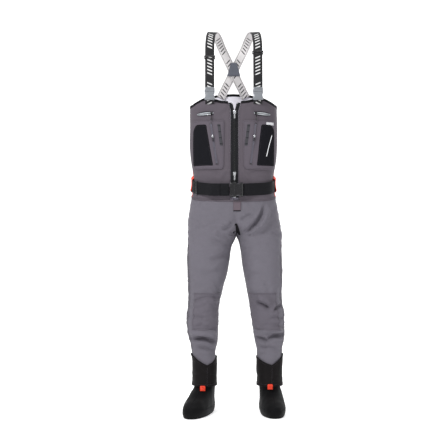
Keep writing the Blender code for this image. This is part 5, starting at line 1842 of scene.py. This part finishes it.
def strap_lines(side, n=180):
    """Middle line of a suspender with its width and outward directions."""
    p = [BASE + SDIR * t for t in (0.0260, 0.07, 0.12, 0.168, 0.212)]
    p += [Vector(q) for q in ((.0972, -.0860, 1.5380), (.0938, -.0620, 1.5670), (.0868, -.0260, 1.5855),
                              (.0760, .0160, 1.5860), (.0640, .0540, 1.5680), (.0500, .0850, 1.5370))]
    for k in range(1, 7):
        z = 1.537 - 0.209 * k / 6
        p.append(Vector((.050 - .1045 * k / 6, 0.0985 + (1.447 - z) * 0.085, z)))
    path = spline(p, n)
    tan = unit(np.gradient(path, axis=0))
    f = np.clip((path[:, 1] + 0.095) / 0.17, 0, 1)
    ang = np.radians(-90 - LEAN) + f * math.radians(180 + LEAN - 4)
    nrm = np.stack([0 * ang, np.sin(ang), np.cos(ang)], axis=-1)
    wid = unit(np.cross(nrm, tan))
    out = unit(np.cross(tan, wid))
    path[:, 1] += 0.0016 * np.clip((path[:, 1] - 0.02) / 0.05, 0, 1) * side
    flip = np.array([side, 1, 1])
    return path * flip, wid * flip, out * flip


for side in (-1, 1):
    w = WORD[side]
    path, wid, out = strap_lines(side)
    prof = flat_profile(STRAP_W, STRAP_T)
    fm = []
    for k in range(len(prof)):
        a, b = prof[k], prof[(k + 1) % len(prof)]
        fm.append(0 if (a[1] + b[1]) > 0 else 1)
    web(f"suspender_{w}", path, wid, out, STRAP_W, STRAP_T, [STRAP_FACE, STRAP_BACK], fm, "webbing",
        f"suspender_strap_{w}")
    side_release(f"strap_{w}", strap_frame(side, TONGUE_AT), 0.034, [GREY, GUNMETAL], "grey_buckle",
                 f"strap_{w}_tongue")
    # tab from the bib into the socket
    rows, cols = 22, 12
    t = np.linspace(-0.0260, -0.0030, rows)[:, None]
    u = np.linspace(-0.5, 0.5, cols)[None, :]
    x = SX + u * 0.036 + 0 * t
    y = BASE.y + SDIR.y * t + 0 * u
    z = BASE.z + SDIR.z * t + 0 * u
    floor, _ = on_bib(side * x, np.minimum(z, 1.285), 0.0026)
    k = smooth(-t, 0.0127, 0.0252)
    P = np.stack([side * x, y + (floor[..., 1] - y) * k, z], axis=-1)
    uv = np.stack([np.broadcast_to((u + 0.5) * 0.036, x.shape).ravel(),
                   np.broadcast_to(t, x.shape).ravel()], axis=1)
    ob = shell(f"strap_tab_{w}_web", P, 0.0016, [STRAP_FACE], outward=forward, uvs=uv)
    finish_piece(ob, ROOT, "webbing", f"strap_tab_{w}")
    for r in (1, 3, 9):
        threads.row(P[r, 1:-1] + np.array([0, -0.0003, 0]), (0, -1, 0), 0.003, 0.0022)
    # ladder adjuster: an outer frame, two bars and the ridged front bar the end folds over
    ad = Build(f"strap_adjuster_{w}_frame", [BLACK])
    ringed(ad, rounded(0.0460, 0.0150, 0.0030), rounded(0.0392, 0.0092, 0.0014), -0.0028, 0.0028)
    ad.box((0.0440, 0.0026, 0.0034), (0, -0.0026, 0.0034), bevel=0.0010, seg=3)
    ad.box((0.0440, 0.0030, 0.0026), (0, -0.0026, -0.0044), bevel=0.0010, seg=3)
    for i in range(9):
        ad.box((0.0018, 0.0008, 0.0028), (-0.0160 + 0.0040 * i, -0.0040, 0.0034), bevel=0.0003)
    finish_piece(ad.done(strap_frame(side, ADJUSTER_AT[side])), f"strap_adjuster_{w}", "black_plastic",
                 f"strap_adjuster_{w}")


CROSS_X, CROSS_Y, CROSS_Z = 0.002, 0.0985, 1.447
CROSS_LEAN = 0.085


def cross_plate(name, depth, sign, node=None):
    """Patch over the straps' crossing, on the side that sign points to, sewn round its edge."""
    b = Build(name, [PATCH])
    outline = []
    corners = [(-0.029, 1.420), (0.029, 1.420), (0.012, 1.476), (-0.012, 1.476)]
    r = 0.004
    for i, (x, z) in enumerate(corners):
        px, pz = corners[i - 1]
        nx, nz = corners[(i + 1) % 4]
        a = Vector((px - x, pz - z)).normalized()
        c = Vector((nx - x, nz - z)).normalized()
        p, q = Vector((x, z)) + a * r, Vector((x, z)) + c * r
        for k in range(5):
            f = k / 4
            m = (1 - f) ** 2 * p + 2 * f * (1 - f) * Vector((x, z)) + f**2 * q
            outline.append((m.x + CROSS_X, m.y))
    b.plate(outline, 0.0018, bevel=0.0006)
    for v in b.bm.verts:
        v.co.y += CROSS_Y + (CROSS_Z - v.co.z) * CROSS_LEAN + depth
    finish_piece(b.done(), ROOT, "cross_patch", *([node] if node else []))
    inset = [(CROSS_X + (x - CROSS_X) * 0.86, CROSS_Z + (z - CROSS_Z) * 0.86) for x, z in outline]
    inset.append(inset[0])
    line = np.array([(x, CROSS_Y + (CROSS_Z - z) * CROSS_LEAN + depth + sign * 0.0010, z) for x,
                     z in inset])
    threads.row(line, (0, sign, CROSS_LEAN * sign), 0.0034, 0.0024)


cross_plate("cross_patch_leather", -0.0051, -1, "cross_patch")
cross_plate("cross_patch_back", 0.0046, 1)

finish_piece(threads.done("stitching", THREAD), ROOT, "bib_fabric")


# ================================================================ floor, light and camera
def stage_mesh():
    """Floor that sweeps up into a backdrop."""
    pts = [(-3.0, 0.0), (1.6, 0.0)]
    for k in range(1, 13):
        a = math.radians(90 * k / 12)
        pts.append((1.6 + 1.4 * math.sin(a), 1.4 * (1 - math.cos(a))))
    pts.append((3.0, 5.0))
    verts, faces = [], []
    for y, z in pts:
        verts += [(-6, y, z - 0.0005), (6, y, z - 0.0005)]
    for i in range(len(pts) - 1):
        faces.append((2 * i, 2 * i + 1, 2 * i + 3, 2 * i + 2))
    n = Nodes("studio_floor", 0.9)
    n.color((0.86, 0.86, 0.87, 1.0))
    n.bsdf.inputs["Emission Color"].default_value = (1.0, 1.0, 1.0, 1.0)
    n.bsdf.inputs["Emission Strength"].default_value = 0.45
    return obj("studio_floor", verts, faces, [n.mat])


stage_mesh()


def lamp(name, place, target, size, power, colour=(1, 1, 1)):
    data = bpy.data.lights.new(name, "AREA")
    data.shape = "RECTANGLE"
    data.size, data.size_y = size
    data.energy = power
    data.color = colour
    ob = bpy.data.objects.new(name, data)
    bpy.context.scene.collection.objects.link(ob)
    ob.location = place
    ob.rotation_euler = (Vector(target) - Vector(place)).to_track_quat("-Z", "Y").to_euler()
    return ob


MIDDLE = (0.0, 0.04, 0.8)
lamp("key", (-1.5, -2.1, 3.0), MIDDLE, (0.9, 0.9), 82)
lamp("fill", (2.3, -2.2, 1.5), MIDDLE, (1.8, 2.2), 18)
lamp("top", (0.0, 0.3, 3.4), MIDDLE, (2.0, 1.6), 26)
lamp("rim", (1.8, 2.0, 1.8), MIDDLE, (1.0, 2.0), 20)

world = bpy.data.worlds.new("studio_air")
world.use_nodes = True
world.node_tree.nodes["Background"].inputs[0].default_value = (1.0, 1.0, 1.0, 1.0)
world.node_tree.nodes["Background"].inputs[1].default_value = 0.50
bpy.context.scene.world = world
bpy.context.scene.view_settings.view_transform = "Standard"
bpy.context.scene.view_settings.look = "None"

cam = bpy.data.cameras.new("camera")
cam.sensor_width = 36.0
cam.lens = 80.36
camera = bpy.data.objects.new("camera", cam)
bpy.context.scene.collection.objects.link(camera)
camera.location = (-0.0399 + OFFSET.x, -4.2 + OFFSET.y, 0.785)
camera.rotation_euler = (math.radians(90), 0, 0)
bpy.context.scene.camera = camera

bpy.context.view_layer.update()
